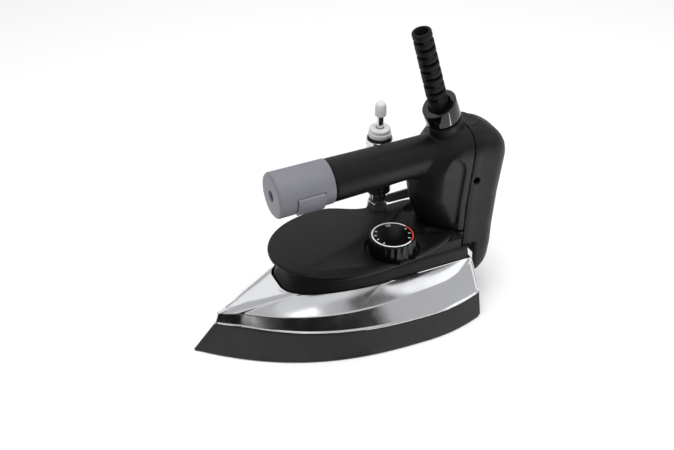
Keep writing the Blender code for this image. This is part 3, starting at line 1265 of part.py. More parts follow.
def make_leads(left_end, right_end):
    block_y = (BLOCK[0][1] + BLOCK[1][1]) / 2
    slot_y = (WIRE_SLOT[1] + WIRE_SLOT[2]) / 2
    socket_z = BLOCK[0][2] + 0.0025
    for side, end, name in ((1, left_end, "lead_heater_left"), (-1, right_end, "lead_heater_right")):
        x, y, z = end
        points = [(x, y, z + 0.0004), (x, y, z + 0.0025), (x - side * 0.0050, y - 0.001, z + 0.0035),
                  (side * 0.0240, REAR - 0.0165, BOARD_Z + 0.0010),
                  (side * 0.0220, REAR - 0.0170, NECK_FOOT_Z + 0.0095),
                  (side * 0.0080, slot_y, NECK_FOOT_Z + 0.0175),
                  (side * 0.0048, slot_y, PLATE_Z - 0.0040),
                  (side * 0.0048, slot_y, PLATE_Z + 0.0110),
                  (side * 0.0090, block_y, PLATE_Z + 0.0180),
                  (side * 0.0100, block_y, socket_z)]
        wire(name, points, 0.0015, SILICONE)
    x, y = DIAL
    top = SOLE_HEIGHT + GAP + THERMOSTAT_HEIGHT + GAP
    points = [(x - 0.0085, y, top + 0.0015), (x - 0.0120, y + 0.005, top + 0.0030),
              (0.0, REAR - 0.0500, BOARD_Z - 0.0030), (0.0, REAR - 0.0500, BOARD_Z + 0.0040),
              (0.0, REAR - 0.0440, NECK_FOOT_Z + 0.0095),
              (0.0, slot_y - 0.006, NECK_FOOT_Z + 0.0160), (0.0, slot_y, PLATE_Z - 0.0040),
              (0.0, slot_y, PLATE_Z + 0.0100), (0.0, block_y, PLATE_Z + 0.0180),
              (0.0, block_y, socket_z)]
    wire("lead_thermostat", points, 0.0015, SILICONE)
    web = JUNCTION + WEB_FROM_JUNCTION
    points = [grip_point(0.0358, 0.0, -0.0062), grip_point(0.0400, 0.0, -0.0074),
              grip_point(web, 0.0, -0.0080), grip_point(web + WEB_THICKNESS, 0.0, -0.0080),
              grip_point(web + 0.030, 0.002, -0.0070), grip_point(web + 0.055, 0.004, -0.0070),
              (0.0070, REAR - 0.0300, PLATE_Z + 0.0520),
              (0.0060, REAR - 0.0262, PLATE_Z + 0.0400),
              (0.0060, block_y, BLOCK[1][2] + 0.0004)]
    wire("lead_switch", points, 0.0012, SILICONE)
    x, y = VALVE
    z = VALVE_CAN_FOOT_Z + 0.0045
    start = VALVE_RADIUS - VALVE_CAN_WALL
    points = [(x, y + start + 0.0001, z), (x, y + start + 0.0040, z),
              (x - 0.0010, y + start + 0.0110, z - 0.0010),
              (LEAD_ENTRY[0] - 0.0065, LEAD_ENTRY[1] - 0.010, LEAD_ENTRY[2] - 0.0005),
              (LEAD_ENTRY[0] - 0.0035, LEAD_ENTRY[1] - 0.0015, LEAD_ENTRY[2]),
              (LEAD_ENTRY[0] + 0.0010, LEAD_ENTRY[1], LEAD_ENTRY[2]),
              (LEAD_ENTRY[0] + 0.0060, LEAD_ENTRY[1], LEAD_ENTRY[2])]
    wire("lead_valve", points, 0.0015, RUBBER)


def main():
    clear_scene()
    make_sole()
    left_end, right_end = make_element()
    make_chamber_cover()
    make_shell()
    make_top_cover()
    make_board()
    make_cover_fixings()
    make_thermostat()
    make_dial()
    make_fuse()
    make_handle()
    make_cap()
    make_button()
    make_switch()
    make_cap_fixings()
    make_rear_cover()
    make_rear_screws()
    make_gland()
    make_valve_fittings()
    make_valve_can()
    make_valve_inside()
    make_valve_top()
    make_valve_knob()
    make_bracket()
    make_pipe()
    make_terminal_block()
    make_leads(left_end, right_end)


main()
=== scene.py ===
"""Looks of a workshop gravity-feed steam iron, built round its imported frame.

Metres, +Z up. The tip points to -Y, the heel to +Y, and +X is the iron's left side.
"""
import json
import math

import bmesh
import bpy
from mathutils import Matrix, Vector


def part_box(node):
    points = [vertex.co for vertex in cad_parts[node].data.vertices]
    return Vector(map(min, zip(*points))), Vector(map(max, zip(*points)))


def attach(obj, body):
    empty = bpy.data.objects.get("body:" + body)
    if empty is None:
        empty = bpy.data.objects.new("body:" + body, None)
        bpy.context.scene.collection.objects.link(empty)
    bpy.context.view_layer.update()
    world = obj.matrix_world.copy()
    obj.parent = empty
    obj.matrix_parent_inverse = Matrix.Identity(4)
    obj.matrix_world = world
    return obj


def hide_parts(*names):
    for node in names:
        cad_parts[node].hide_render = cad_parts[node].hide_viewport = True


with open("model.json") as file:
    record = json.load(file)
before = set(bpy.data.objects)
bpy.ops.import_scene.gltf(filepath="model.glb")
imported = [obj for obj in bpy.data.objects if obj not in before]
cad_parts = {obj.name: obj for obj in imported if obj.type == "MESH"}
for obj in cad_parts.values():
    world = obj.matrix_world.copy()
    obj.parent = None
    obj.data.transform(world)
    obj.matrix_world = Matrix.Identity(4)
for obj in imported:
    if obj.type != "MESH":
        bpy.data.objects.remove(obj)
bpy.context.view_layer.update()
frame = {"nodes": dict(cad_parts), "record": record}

GAP = 0.0003            # between pieces that touch

# Sole and chromed shell
FRONT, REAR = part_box("sole_plate")[0].y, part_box("sole_plate")[1].y
SOLE_LENGTH = REAR - FRONT
SOLE_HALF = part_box("sole_plate")[1].x
SOLE_REAR_HALF = 0.050
SOLE_WIDEST = 0.755     # how far back along its length the sole is widest
SOLE_FULLNESS = 2.64
SOLE_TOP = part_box("sole_plate")[1].z
SOLE_INSET = 0.0046     # from the sole's edge to its top edge
SOLE_SETBACK = 0.0174
SOLE_EDGE = 0.0008
NOSE_FLAT = 0.0011
CORNER = 0.0022         # rounding of the heel's corners, seen from above
LIP, LIP_HEIGHT = 0.0006, 0.0011
ELEMENT_INSET, ELEMENT_RADIUS, CHAMBER_RIM = 0.022, 0.0041, 0.008
PORT_START, PORT_PITCH, PORT_ROWS, PORT_INSET = 0.078, 0.010, 5, 0.0045
CREASE_LEAN = 0.0010
CREASE_NOSE_Z, CREASE_RISE = 0.0089, 0.0113
CREASE_SETBACK, CREASE_REAR_INSET = 0.0020, 0.0136
OPENING_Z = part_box("body_shell")[1].z
OPENING_FRONT = REAR - 0.1535
OPENING_REAR = REAR - 0.0030
SHELL_WALL = 0.0012

# Top cover
PLATE_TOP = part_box("top_cover")[1].z
PLATE_UNDER = PLATE_TOP - 0.0048
PLATE_CENTRE = REAR - 0.1004
PLATE_FRONT_LENGTH = 0.0565
PLATE_RELIEF = 0.0095   # how far the right side steps in beside the valve
NECK_FOOT, NECK_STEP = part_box("top_cover")[0].z, 0.0545
NECK_GAP, NECK_WAIST, NECK_WALL = 0.0008, 0.0025, 0.0024
NECK_REAR = REAR - 0.0092
NECK_MIDDLE, NECK_HALF, NECK_REAR_HALF = REAR - 0.080, 0.0342, 0.0318
NECK_LEAN = 0.0065
COVER_SCREW_X, COVER_SCREW_Y = 0.0165, REAR - 0.0341
SCREW_POCKET, SCREW_POCKET_RADIUS = 0.003, 0.0038
PLATE_HALF = NECK_HALF + 0.0108
PLATE_REAR_LENGTH = NECK_REAR - 0.0005 - PLATE_CENTRE

# Dial
DIAL = Vector((0.0243, REAR - 0.0685, 0))
DIAL_RADIUS, DIAL_TOP, DIAL_FLUTES = 0.018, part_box("dial_knob")[1].z, 24
WELL_DEPTH, WELL_GAP = 0.0025, 0.0026
SCALE_RADIUS, SCALE_THICKNESS = 0.0163, 0.0007
INK_PROUD, INK_DEPTH = 0.00006, 0.0002
TICK_ANGLES, TICK_HALF = (48, 76, 104, 228, 252, 276, 304), 1.6

# Grip, cap and button
CAP_FACE = Vector((0, REAR - 0.1562, 0.1223))
TILT = math.radians(2.3)
GRIP_AXIS = Vector((0, math.cos(TILT), math.sin(TILT)))
GRIP_RADIUS, GRIP_STEP, CAP_TAPER, GRIP_TAPER = 0.0175, 0.0005, 0.0005, 0.0014
CAP_LENGTH, CAP_EDGE, SCREW_RECESS = 0.0447, 0.0024, 0.0042
CAP_WALL, CAP_WEB, CAP_BORE = 0.0022, 0.006, 0.0023
SOCKET_RADIUS, CAP_HEAD_RADIUS, CAP_HEAD = 0.0019, 0.0036, 0.0018
JUNCTION, GRIP_END = CAP_LENGTH + GAP, 0.1382
BUTTON_ROLL = math.radians(-22)
BUTTON_START, BUTTON_LENGTH, BUTTON_WIDTH, BUTTON_PROUD = 0.0138, 0.0222, 0.018, 0.0014
BUTTON_SLACK, BUTTON_WALL = 0.0005, 0.0020

# Column and rear cover
COLUMN_HALF, COLUMN_FLARE = 0.025, 0.002
COLUMN_TOP, COLUMN_SHOULDER = 0.1492, 0.121
COLUMN_FOOT_Y, COLUMN_WAIST_Y, COLUMN_TOP_Y = REAR - 0.033, REAR - 0.042, REAR - 0.020
COVER_FOOT, COVER_SHOULDER, COVER_CORNER = 0.0300, 0.122, 0.017
COVER_FALL = 0.0016     # how far the cover's sides lean in behind their flat strip
BACK_FOOT, BACK_TOP = 0.0185, 0.0324
SKIRT_Y, NOTCH_Z = REAR + 0.0017, 0.0556
SIDE_SCREW = (REAR + 0.0010, PLATE_TOP + 0.042)
COVER_WALL = 0.0028
PANEL_DEPTH, PANEL_MARGIN, PANEL_FOOT = 0.0017, 0.0062, 0.0745
LEAD_ENTRY = Vector((-COLUMN_HALF, REAR - 0.0165, PLATE_TOP + 0.024))
HANDLE_GRID, HANDLE_ROUNDS = 0.0008, 4      # voxel size, and rounds of smoothing

# Cord gland
GLAND = Vector((0, REAR - 0.0170, 0.1550))
GLAND_LEAN, BOOT_LEAN = math.radians(20.6), math.radians(16.2)
GLAND_AXIS = Vector((0, -math.sin(GLAND_LEAN), math.cos(GLAND_LEAN)))
GLAND_SIDE = Vector((0, math.cos(GLAND_LEAN), math.sin(GLAND_LEAN)))
BOSS_RADIUS, COLLAR_RADIUS, COLLAR_LENGTH, COLLAR_DROP = 0.0139, 0.0135, 0.0175, 0.0060
BOOT_RADIUS, BOOT_TAPER, BOOT_BORE = 0.0077, 0.05, 0.0050
BOOT_BODY, BOOT_RIBS, BOOT_GROOVE = 0.0662, 9, 0.0023
BOOT_FLANGE, BOOT_SEAT = 0.0106, 0.0128

# Drip valve
VALVE = Vector((-0.0286, REAR - 0.0551, 0))
VALVE_RADIUS, CAN_FOOT, CAN_TOP = 0.0102, 0.0854, 0.1318
CAN_WALL, FITTING_BORE = 0.0012, 0.0046
HEX_RADIUS, HEX_TOP = 0.0079, 0.0760
NUT_RADIUS, NUT_FLUTES, NUT_CHAMFER = 0.0065, 24, 0.0004
INLET_DROP, CAN_LEAD_Z = 0.014, CAN_FOOT + 0.0045
STEM_RADIUS, STEM_TOP = 0.0028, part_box("valve_stem")[1].z
BONNET_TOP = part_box("valve_bonnet")[1].z
KNOB_RADIUS, KNOB_FLUTES, KNOB_FLUTE_DEPTH = 0.0045, 12, 0.0005
KNOB_FOOT, KNOB_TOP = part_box("valve_knob")[0].z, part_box("valve_knob")[1].z
INLET_AXIS = Vector((-0.9, 0.436, 0))
BRACKET_SCREW = (REAR - 0.0135, HEX_TOP + 0.0001)
UP = Vector((0, 0, 1))


# ---------------------------------------------------------------- materials

def linear(colour):
    """An sRGB hex colour as linear red, green, blue and alpha."""
    parts = [int(colour[i:i + 2], 16) / 255 for i in (1, 3, 5)]
    return (*[c / 12.92 if c <= 0.04045 else ((c + 0.055) / 1.055) ** 2.4 for c in parts], 1.0)


def add_node(tree, kind, inputs, **settings):
    """Adds a node; each input is a value or another node's output."""
    made = tree.nodes.new("ShaderNode" + kind)
    for name, value in settings.items():
        setattr(made, name, value)
    for socket, value in inputs.items():
        if isinstance(value, bpy.types.NodeSocket):
            tree.links.new(value, made.inputs[socket])
        else:
            made.inputs[socket].default_value = value
    return made


def finish(name, dark, light, patch, matt, grain, relief, stretch=(1, 1, 1), **fixed):
    """A surface that drifts between two tones over patches, with grain; sizes in mm.

    matt is the lowest and highest roughness, relief the grain's height, and stretch
    draws the grain out along the axes where it is small.
    """
    made = bpy.data.materials.new(name)
    made.use_nodes = True
    tree = made.node_tree
    shader = tree.nodes["Principled BSDF"]
    for socket, value in fixed.items():
        shader.inputs[socket.replace("_", " ")].default_value = value
    place = add_node(tree, "TexCoord", {}).outputs["Object"]
    cloud = add_node(tree, "TexNoise", {"Vector": place, "Scale": 1000 / patch, "Detail": 3.0})
    tones = add_node(tree, "Mix", {"Factor": cloud.outputs["Fac"], 6: linear(dark),
                                   7: linear(light)}, data_type="RGBA")
    tree.links.new(tones.outputs[2], shader.inputs["Base Color"])
    drawn = add_node(tree, "Mapping", {"Vector": place, "Scale": stretch})
    fine = add_node(tree, "TexNoise", {"Vector": drawn.outputs["Vector"],
                                       "Scale": 1000 / grain, "Detail": 2.0})
    gloss = add_node(tree, "MapRange", {"Value": fine.outputs["Fac"], "From Min": 0.3,
                                        "From Max": 0.7, "To Min": matt[0], "To Max": matt[1]})
    tree.links.new(gloss.outputs["Result"], shader.inputs["Roughness"])
    bump = add_node(tree, "Bump", {"Height": fine.outputs["Fac"], "Strength": 0.6,
                                   "Distance": relief / 1000})
    tree.links.new(bump.outputs["Normal"], shader.inputs["Normal"])
    return made


# Sand-cast aluminium under a hard dark coating: an even, matt slate grey with a sandy tooth
COATED_CAST = finish("coated_cast_aluminium", "#2b2b2c", "#343435", 14, (0.52, 0.68), 0.7, 0.05,
                     Specular_IOR_Level=0.25)
# Polished steel with bright chromium plating: a softly hazed mirror with a slight ripple
CHROME = finish("chromium_plated_steel", "#dfe0e3", "#eeeff1", 30, (0.13, 0.19), 9, 0.012,
                Metallic=1.0)
# Turned brass fittings plated with nickel: bright and a little less white than chromium
BRIGHT_FITTING = finish("nickel_plated_brass", "#c9cacb", "#dddedf", 6, (0.10, 0.20), 0.6, 0.004,
                        Metallic=1.0)
# Compression-moulded phenolic, black: satin skin with faint clouding from the wood-flour filler
PHENOLIC = finish("moulded_black_phenolic", "#0b0b0c", "#141415", 7, (0.36, 0.50), 1.1, 0.035,
                  Specular_IOR_Level=0.26)
# The same phenolic from a polished part of the mould: deep black and glossy
GLOSS_PHENOLIC = finish("polished_black_phenolic", "#040404", "#080808", 8, (0.05, 0.10), 2.0,
                        0.003, Specular_IOR_Level=0.6)
# The dial's knob: the same phenolic, tumbled, so that its flutes shine softly
SATIN_KNOB = finish("tumbled_black_phenolic", "#060606", "#0b0b0b", 5, (0.22, 0.32), 0.7, 0.006,
                    Specular_IOR_Level=0.35)
# Injection-moulded ABS, mid grey: fine spark-eroded satin texture
GREY_ABS = finish("moulded_grey_abs", "#6c6c73", "#77777f", 12, (0.36, 0.48), 0.45, 0.014,
                  Specular_IOR_Level=0.45)
# Natural nylon, injection moulded: milky white that lets a little light through
WHITE_NYLON = finish("moulded_natural_nylon", "#c4c5c4", "#d8d9d8", 5, (0.28, 0.40), 0.5, 0.006,
                     Subsurface_Weight=0.25, Subsurface_Scale=0.002,
                     Subsurface_Radius=(1.0, 1.0, 1.0))
# Moulded nitrile rubber: dead black with a dusty bloom
BLACK_RUBBER = finish("moulded_black_rubber", "#070707", "#0e0e0f", 6, (0.50, 0.66), 0.5, 0.02,
                      Specular_IOR_Level=0.26)
# Extruded silicone sleeve: brick red and waxy
RED_SILICONE = finish("extruded_red_silicone", "#9a3a2a", "#ae4632", 8, (0.45, 0.60), 0.5, 0.01)
# Turned brass: warm yellow with fine tool marks round the part
BRASS = finish("turned_brass", "#b0894a", "#c79c58", 5, (0.22, 0.36), 0.3, 0.006, (1, 1, 6),
               Metallic=1.0)
# Drawn copper tube and enamelled winding: red-brown metal
COPPER = finish("drawn_copper", "#a85f3f", "#bd7250", 7, (0.25, 0.40), 0.4, 0.006, Metallic=1.0)
# Die-cast aluminium cover, not machined: dull silver
CAST_COVER = finish("die_cast_aluminium", "#a6a8aa", "#b8babc", 8, (0.38, 0.52), 0.6, 0.02,
                    Metallic=1.0)
# Pressed mica board: straw brown with flakes
MICA = finish("pressed_mica_board", "#8b7a5a", "#a8946c", 3, (0.55, 0.75), 1.2, 0.03)
# Grey stove enamel on a steel strip: satin with orange peel
GREY_PAINT = finish("stove_enamelled_steel", "#4c4d50", "#58595c", 8, (0.35, 0.48), 1.4, 0.012)
# Zinc-plated screws and pins: cool grey metal with faint turning marks
ZINC_STEEL = finish("zinc_plated_steel", "#9b9da0", "#afb1b4", 3, (0.24, 0.38), 0.3, 0.005,
                    Metallic=1.0)
# Socket and machine screws coloured near-black as painted shade for the dark of their recesses:
# oily satin
RECESS_SHADE_SCREW = finish("screw_steel_painted_recess_shade", "#0d0d0e", "#18181a", 2, (0.30, 0.45), 0.4, 0.006,
                     Specular_IOR_Level=0.35)
# Screen-printed inks on the dial, slightly matt
WHITE_INK = finish("white_screen_ink", "#e2e2e0", "#efefed", 2, (0.40, 0.55), 0.3, 0.004)
RED_INK = finish("orange_red_screen_ink", "#a83c28", "#bd4a30", 2, (0.40, 0.55), 0.3, 0.004)
BLACK_INK = finish("black_screen_ink", "#050505", "#070707", 3, (0.30, 0.40), 0.4, 0.002,
                   Specular_IOR_Level=0.15)
GREY_INK = finish("grey_screen_ink", "#77787a", "#858688", 2, (0.40, 0.55), 0.3, 0.004)

SLOT_MATERIALS = {"sole_coating": COATED_CAST, "chrome_steel": CHROME, "phenolic": PHENOLIC,
                  "black_gloss": GLOSS_PHENOLIC, "grey_plastic": GREY_ABS,
                  "white_nylon": WHITE_NYLON, "black_rubber": BLACK_RUBBER,
                  "silicone": RED_SILICONE, "brass": BRASS, "copper": COPPER,
                  "cast_cover": CAST_COVER, "mica_board": MICA, "grey_paint": GREY_PAINT,
                  "steel": ZINC_STEEL}
SLOT_OF = {row["node"]: row["material_slot"] for row in frame["record"]["subparts"]}
BODY_OF = {node: body for body, nodes in frame["record"]["behaviour"]["bodies"].items()
           for node in nodes}


def dress_frame():
    """Gives every CAD node that still shows the finish of its slot."""
    for name, node in frame["nodes"].items():
        for place in node.material_slots:
            place.link = "OBJECT"
            place.material = SLOT_MATERIALS[SLOT_OF[name]]


# ---------------------------------------------------------------- modelling tools

def mesh_object(name, bm, angle=35):
    bmesh.ops.remove_doubles(bm, verts=bm.verts, dist=1e-7)
    bmesh.ops.recalc_face_normals(bm, faces=bm.faces)
    mesh = bpy.data.meshes.new(name)
    bm.to_mesh(mesh)
    bm.free()
    mesh.shade_smooth()
    mesh.set_sharp_from_angle(angle=math.radians(angle))
    made = bpy.data.objects.new(name, mesh)
    bpy.context.scene.collection.objects.link(made)
    return made


def piece(node, bm, name=None, material=None, angle=35):
    """A finished piece that stands for a CAD node: same body, same slot."""
    made = bm if isinstance(bm, bpy.types.Object) else mesh_object("new", bm, angle)
    made.name = name or node + "_skin"
    made.data.materials.clear()
    made.data.materials.append(material or SLOT_MATERIALS[SLOT_OF[node]])
    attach(made, BODY_OF[node])
    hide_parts(node)
    return made


def applied(shape):
    """Bakes an object's modifiers into its mesh."""
    graph = bpy.context.evaluated_depsgraph_get()
    mesh = bpy.data.meshes.new_from_object(shape.evaluated_get(graph))
    shape.modifiers.clear()
    shape.data = mesh
    return shape


def combine(shape, tools, operation):
    for tool in tools:
        cutter = mesh_object("tool", tool)
        step = shape.modifiers.new("combine", "BOOLEAN")
        step.operation, step.object, step.solver = operation, cutter, "EXACT"
        applied(shape)
        bpy.data.objects.remove(cutter, do_unlink=True)
    return shape


def cut(shape, *tools):
    return combine(shape, tools, "DIFFERENCE")


def join(shape, *tools):
    return combine(shape, tools, "UNION")


def softened(shape, width, segments=2, angle=40):
    """Rounds the shape's sharp edges, and shades it smooth."""
    step = shape.modifiers.new("edges", "BEVEL")
    step.width, step.segments, step.profile = width, segments, 0.5
    step.limit_method, step.angle_limit = "ANGLE", math.radians(angle)
    step.harden_normals = True
    applied(shape)
    return shape


def moulded(shape, grid, rounds):
    """Melts joined solids into one skin with soft inside corners."""
    step = shape.modifiers.new("skin", "REMESH")
    step.mode, step.voxel_size, step.adaptivity = "VOXEL", grid, 0.0
    applied(shape)
    bm = bmesh.new()
    bm.from_mesh(shape.data)
    for _ in range(rounds):
        bmesh.ops.smooth_vert(bm, verts=bm.verts, factor=0.5, use_axis_x=True,
                              use_axis_y=True, use_axis_z=True)
    bpy.data.objects.remove(shape, do_unlink=True)
    return mesh_object("skin", bm, 60)


def loft(rings, closed=False):
    """A solid through rings of equal point counts: capped, or closed on itself."""
    bm = bmesh.new()
    first = [bm.verts.new(point) for point in rings[0]]
    face = bm.faces.new(first)
    if not closed:
        bm.faces.new([bm.verts.new(v.co) for v in reversed(first)])
    for ring in rings[1:] + ([rings[0]] if closed else []):
        face = bmesh.ops.extrude_discrete_faces(bm, faces=[face])["faces"][0]
        for vert, point in zip(face.verts, ring):
            vert.co = point
    if closed:
        bm.faces.remove(face)
    bmesh.ops.remove_doubles(bm, verts=bm.verts, dist=1e-7)
    return bm


def facing(base, direction):
    turn = Vector(direction).to_track_quat("Z", "Y").to_matrix().to_4x4()
    return Matrix.Translation(base) @ turn


def turned(profile, base=(0, 0, 0), direction=UP, steps=64, closed=False):
    """The (radius, height) profile spun round an axis from base along direction."""
    bm = bmesh.new()
    verts = [bm.verts.new((radius, 0, height)) for radius, height in profile]
    pairs = list(zip(verts, verts[1:])) + ([(verts[-1], verts[0])] if closed else [])
    edges = [bm.edges.new(pair) for pair in pairs]
    bmesh.ops.spin(bm, geom=verts + edges, cent=(0, 0, 0), axis=(0, 0, 1),
                   angle=math.tau, steps=steps, use_merge=True)
    bmesh.ops.remove_doubles(bm, verts=bm.verts, dist=1e-7)
    start = Matrix.Rotation(0.37 * steps, 4, "Z")   # so that no two facets line up
    bmesh.ops.transform(bm, matrix=facing(base, direction) @ start, verts=bm.verts)
    return bm


def rod(radius, low, high, base=(0, 0, 0), direction=UP, steps=40):
    return turned([(0, low), (radius, low), (radius, high), (0, high)], base, direction, steps)


def rounded(profile, radius, steps=4):
    """An open profile whose inner corners are rounded, never past half their sides."""
    smooth = [profile[0]]
    for before, corner, after in zip(profile, profile[1:], profile[2:]):
        a, b, c = Vector(before), Vector(corner), Vector(after)
        reach = min(radius, (a - b).length * 0.45, (c - b).length * 0.45)
        start, end = b + (a - b).normalized() * reach, b + (c - b).normalized() * reach
        for i in range(steps + 1):
            t = i / steps
            smooth.append(tuple(start * (1 - t) ** 2 + b * 2 * t * (1 - t) + end * t * t))
    return smooth + [profile[-1]]


def box(low, high, matrix=None, edge=0.0):
    """A block, with rounded edges where edge is given."""
    bm = bmesh.new()
    bmesh.ops.create_cube(bm, size=1)
    low, high = Vector(low), Vector(high)
    bmesh.ops.scale(bm, vec=high - low, verts=bm.verts)
    bmesh.ops.translate(bm, vec=(low + high) / 2, verts=bm.verts)
    if edge:
        bmesh.ops.bevel(bm, geom=bm.edges[:], offset=edge, segments=3, profile=0.5,
                        affect="EDGES", material=-1)
    if matrix:
        bmesh.ops.transform(bm, matrix=matrix, verts=bm.verts)
    return bm


def prism(outline, low, high):
    return loft([[(x, y, low) for x, y in outline], [(x, y, high) for x, y in outline]])


def hexagon(radius):
    return [(radius * math.cos(math.tau * i / 6), radius * math.sin(math.tau * i / 6))
            for i in range(6)]


def fluted_ring(centre, z, radius, depth, flutes, steps, sharpness=1.0):
    """A level ring round an upright axis, with flutes cut in; steps are for each flute."""
    ring = []
    for i in range(flutes * steps):
        angle = math.tau * i / (flutes * steps)
        reach = radius - depth * (0.5 - 0.5 * math.cos(angle * flutes)) ** sharpness
        ring.append((centre.x + reach * math.cos(angle), centre.y + reach * math.sin(angle), z))
    return ring


def add_to(bm, *others):
    """Adds other shapes' meshes to bm, side by side."""
    for other in others:
        mesh = bpy.data.meshes.new("part")
        other.to_mesh(mesh)
        other.free()
        bm.from_mesh(mesh)
        bpy.data.meshes.remove(mesh)
    return bm


def tube(points, radius, sides=12, steps=5):
    """A round tube along a smooth curve through the points."""
    knots = [Vector(p) for p in points]
    knots = [2 * knots[0] - knots[1]] + knots + [2 * knots[-1] - knots[-2]]
    line = []
    for a, b, c, d in zip(knots, knots[1:], knots[2:], knots[3:]):
        for t in (i / steps for i in range(steps)):
            line.append(0.5 * (2 * b + (c - a) * t + (2 * a - 5 * b + 4 * c - d) * t * t
                               + (3 * b - a - 3 * c + d) * t ** 3))
    line.append(knots[-2])
    rings, side = [], Vector((0, 0, 1))
    for here, before, after in zip(line, [line[0]] + line, line[1:] + [line[-1]]):
        along = (after - before).normalized()
        across = along.cross(side).normalized()
        side = across.cross(along)
        rings.append([here + radius * (math.cos(math.tau * i / sides) * across
                                       + math.sin(math.tau * i / sides) * side)
                      for i in range(sides)])
    return loft(rings)


# ---------------------------------------------------------------- outlines

STEPS = 90              # points along each side of the sole's outline
BEND_SHARE = 8 / 15     # share of them on the blunt front of the neck


def sole_half(share):
    """Half the sole's width at a share of its length behind the tip."""
    if share < SOLE_WIDEST:
        return SOLE_HALF * (1 - (1 - share / SOLE_WIDEST) ** SOLE_FULLNESS)
    tail = (share - SOLE_WIDEST) / (1 - SOLE_WIDEST)
    return SOLE_HALF - (SOLE_HALF - SOLE_REAR_HALF) * tail ** 2


def mirrored(side):
    """Both sides of an outline whose +X half runs from the front to the rear."""
    return side + [(-point[0], *point[1:]) for point in reversed(side)]


def cornered(side, corner):
    """The side with its last point rounded off into the rear edge."""
    half, rear, z = side[-1]
    kept = [(x, min(y, rear - corner), h) for x, y, h in side[:-1]]
    arc = [(half - corner + corner * math.cos(a), rear - corner + corner * math.sin(a), z)
           for a in (math.radians(15 * i) for i in range(7))]
    return kept + arc


def sole_ring(height, inset, setback, rear_inset=0.0):
    """The sole's outline at a height; inset and height may depend on the share."""
    side = []
    for i in range(STEPS + 1):
        share = (i / STEPS) ** 1.25
        depth = inset(share) if callable(inset) else inset
        z = height(share) if callable(height) else height
        half = max(sole_half(share) - depth * min(1.0, share * 12), NOSE_FLAT)
        side.append((half, FRONT + setback + share * (SOLE_LENGTH - setback - rear_inset), z))
    return mirrored(cornered(side, CORNER))


def neck_lean(height):
    share = (height - OPENING_Z) / (PLATE_UNDER - OPENING_Z)
    return NECK_LEAN * min(1.0, max(0.0, share)) ** 0.5


def blunt_ring(height, grow=0.0, rear=None, corner=CORNER):
    """The blunt-nosed outline of the neck and its opening, grown outwards."""
    front = OPENING_FRONT - grow + neck_lean(height)
    rear = OPENING_REAR + grow if rear is None else rear
    half, rear_half = NECK_HALF + grow, NECK_REAR_HALF + grow
    side = []
    for share in (i / STEPS for i in range(STEPS + 1)):
        if share <= BEND_SHARE:
            angle = math.radians(5 + 85 * share / BEND_SHARE)
            y = NECK_MIDDLE - (NECK_MIDDLE - front) * math.cos(angle) ** 1.25
            reach = (NECK_MIDDLE - y) / (NECK_MIDDLE - front)
            x = half * max(0.0, 1 - reach ** 1.6) ** 0.30
        else:
            y = NECK_MIDDLE + (rear - NECK_MIDDLE) * (share - BEND_SHARE) / (1 - BEND_SHARE)
            x = half + (rear_half - half) * (y - NECK_MIDDLE) / (rear - NECK_MIDDLE)
        side.append((x, y, height))
    return mirrored(cornered(side, corner))


def smooth_step(value, low, high):
    share = min(1.0, max(0.0, (value - low) / (high - low)))
    return share * share * (3 - 2 * share)


def plate_ring(height, inset=0.0):
    """The oval plate's outline: a short front half and a long rear half."""
    side = []
    for i in range(STEPS + 1):
        angle = math.radians(2 + 174 * i / STEPS)
        rear = angle > math.pi / 2
        length = PLATE_REAR_LENGTH if rear else PLATE_FRONT_LENGTH
        half = (PLATE_HALF - inset) * math.sin(angle) ** (0.62 if rear else 1)
        side.append((half, PLATE_CENTRE - (length - inset) * math.cos(angle), height))
    relief = [PLATE_RELIEF * (smooth_step(y, REAR - 0.096, REAR - 0.066)
                              - smooth_step(y, REAR - 0.052, REAR - 0.018))
              for half, y, z in side]
    right = [(step - half, y, z) for step, (half, y, z) in zip(relief, side)]
    return side + right[::-1]


def blended(low, high, count, bulge=0.0):
    """Rings between two rings, pushed outwards in the middle by bulge."""
    rings = []
    for t in (i / count for i in range(1, count)):
        lift = bulge * 4 * t * (1 - t)
        rings.append([tuple(Vector(a).lerp(Vector(b), t) + lift * UP)
                      for a, b in zip(low, high)])
    return rings


# ---------------------------------------------------------------- sole and shell

def steam_ports():
    for i in range(PORT_ROWS):
        y = FRONT + PORT_START + PORT_PITCH * i
        x = (sole_half((y - FRONT) / SOLE_LENGTH) - ELEMENT_INSET - ELEMENT_RADIUS
             - CHAMBER_RIM - PORT_INSET)
        yield from ((x, y), (-x, y))


def make_sole():
    rings = [sole_ring(0, SOLE_EDGE, SOLE_EDGE, SOLE_EDGE)]
    for angle in (30, 60, 90):
        turn = math.radians(angle)
        in_by = SOLE_EDGE * (1 - math.sin(turn))
        rings.append(sole_ring(SOLE_EDGE * (1 - math.cos(turn)), in_by, in_by, in_by))
    for share in (0.30, 0.60, 0.86, 0.96):
        rings.append(sole_ring(SOLE_EDGE + (SOLE_TOP - SOLE_EDGE) * share, SOLE_INSET * share,
                               SOLE_SETBACK * share))
    rings.append(sole_ring(SOLE_TOP - 0.0002, SOLE_INSET, SOLE_SETBACK, 0.0002))
    rings.append(sole_ring(SOLE_TOP, SOLE_INSET + 0.0005, SOLE_SETBACK + 0.0006, 0.0008))
    sole = mesh_object("sole", loft(rings))
    drills = bmesh.new()
    for x, y in steam_ports():
        mouth = [(0, -0.001), (0.0027, -0.001), (0.0026, 0.0), (0.00175, 0.0009), (0.00175, 0.008),
                 (0, 0.008)]
        add_to(drills, turned(mouth, (x, y, 0), steps=24))
    cut(sole, drills)
    piece("sole_plate", sole)


def crease_z(share):
    return SOLE_TOP + CREASE_NOSE_Z + CREASE_RISE * share


def crease_inset(share):
    return SOLE_INSET + CREASE_LEAN + (CREASE_REAR_INSET - CREASE_LEAN) * share


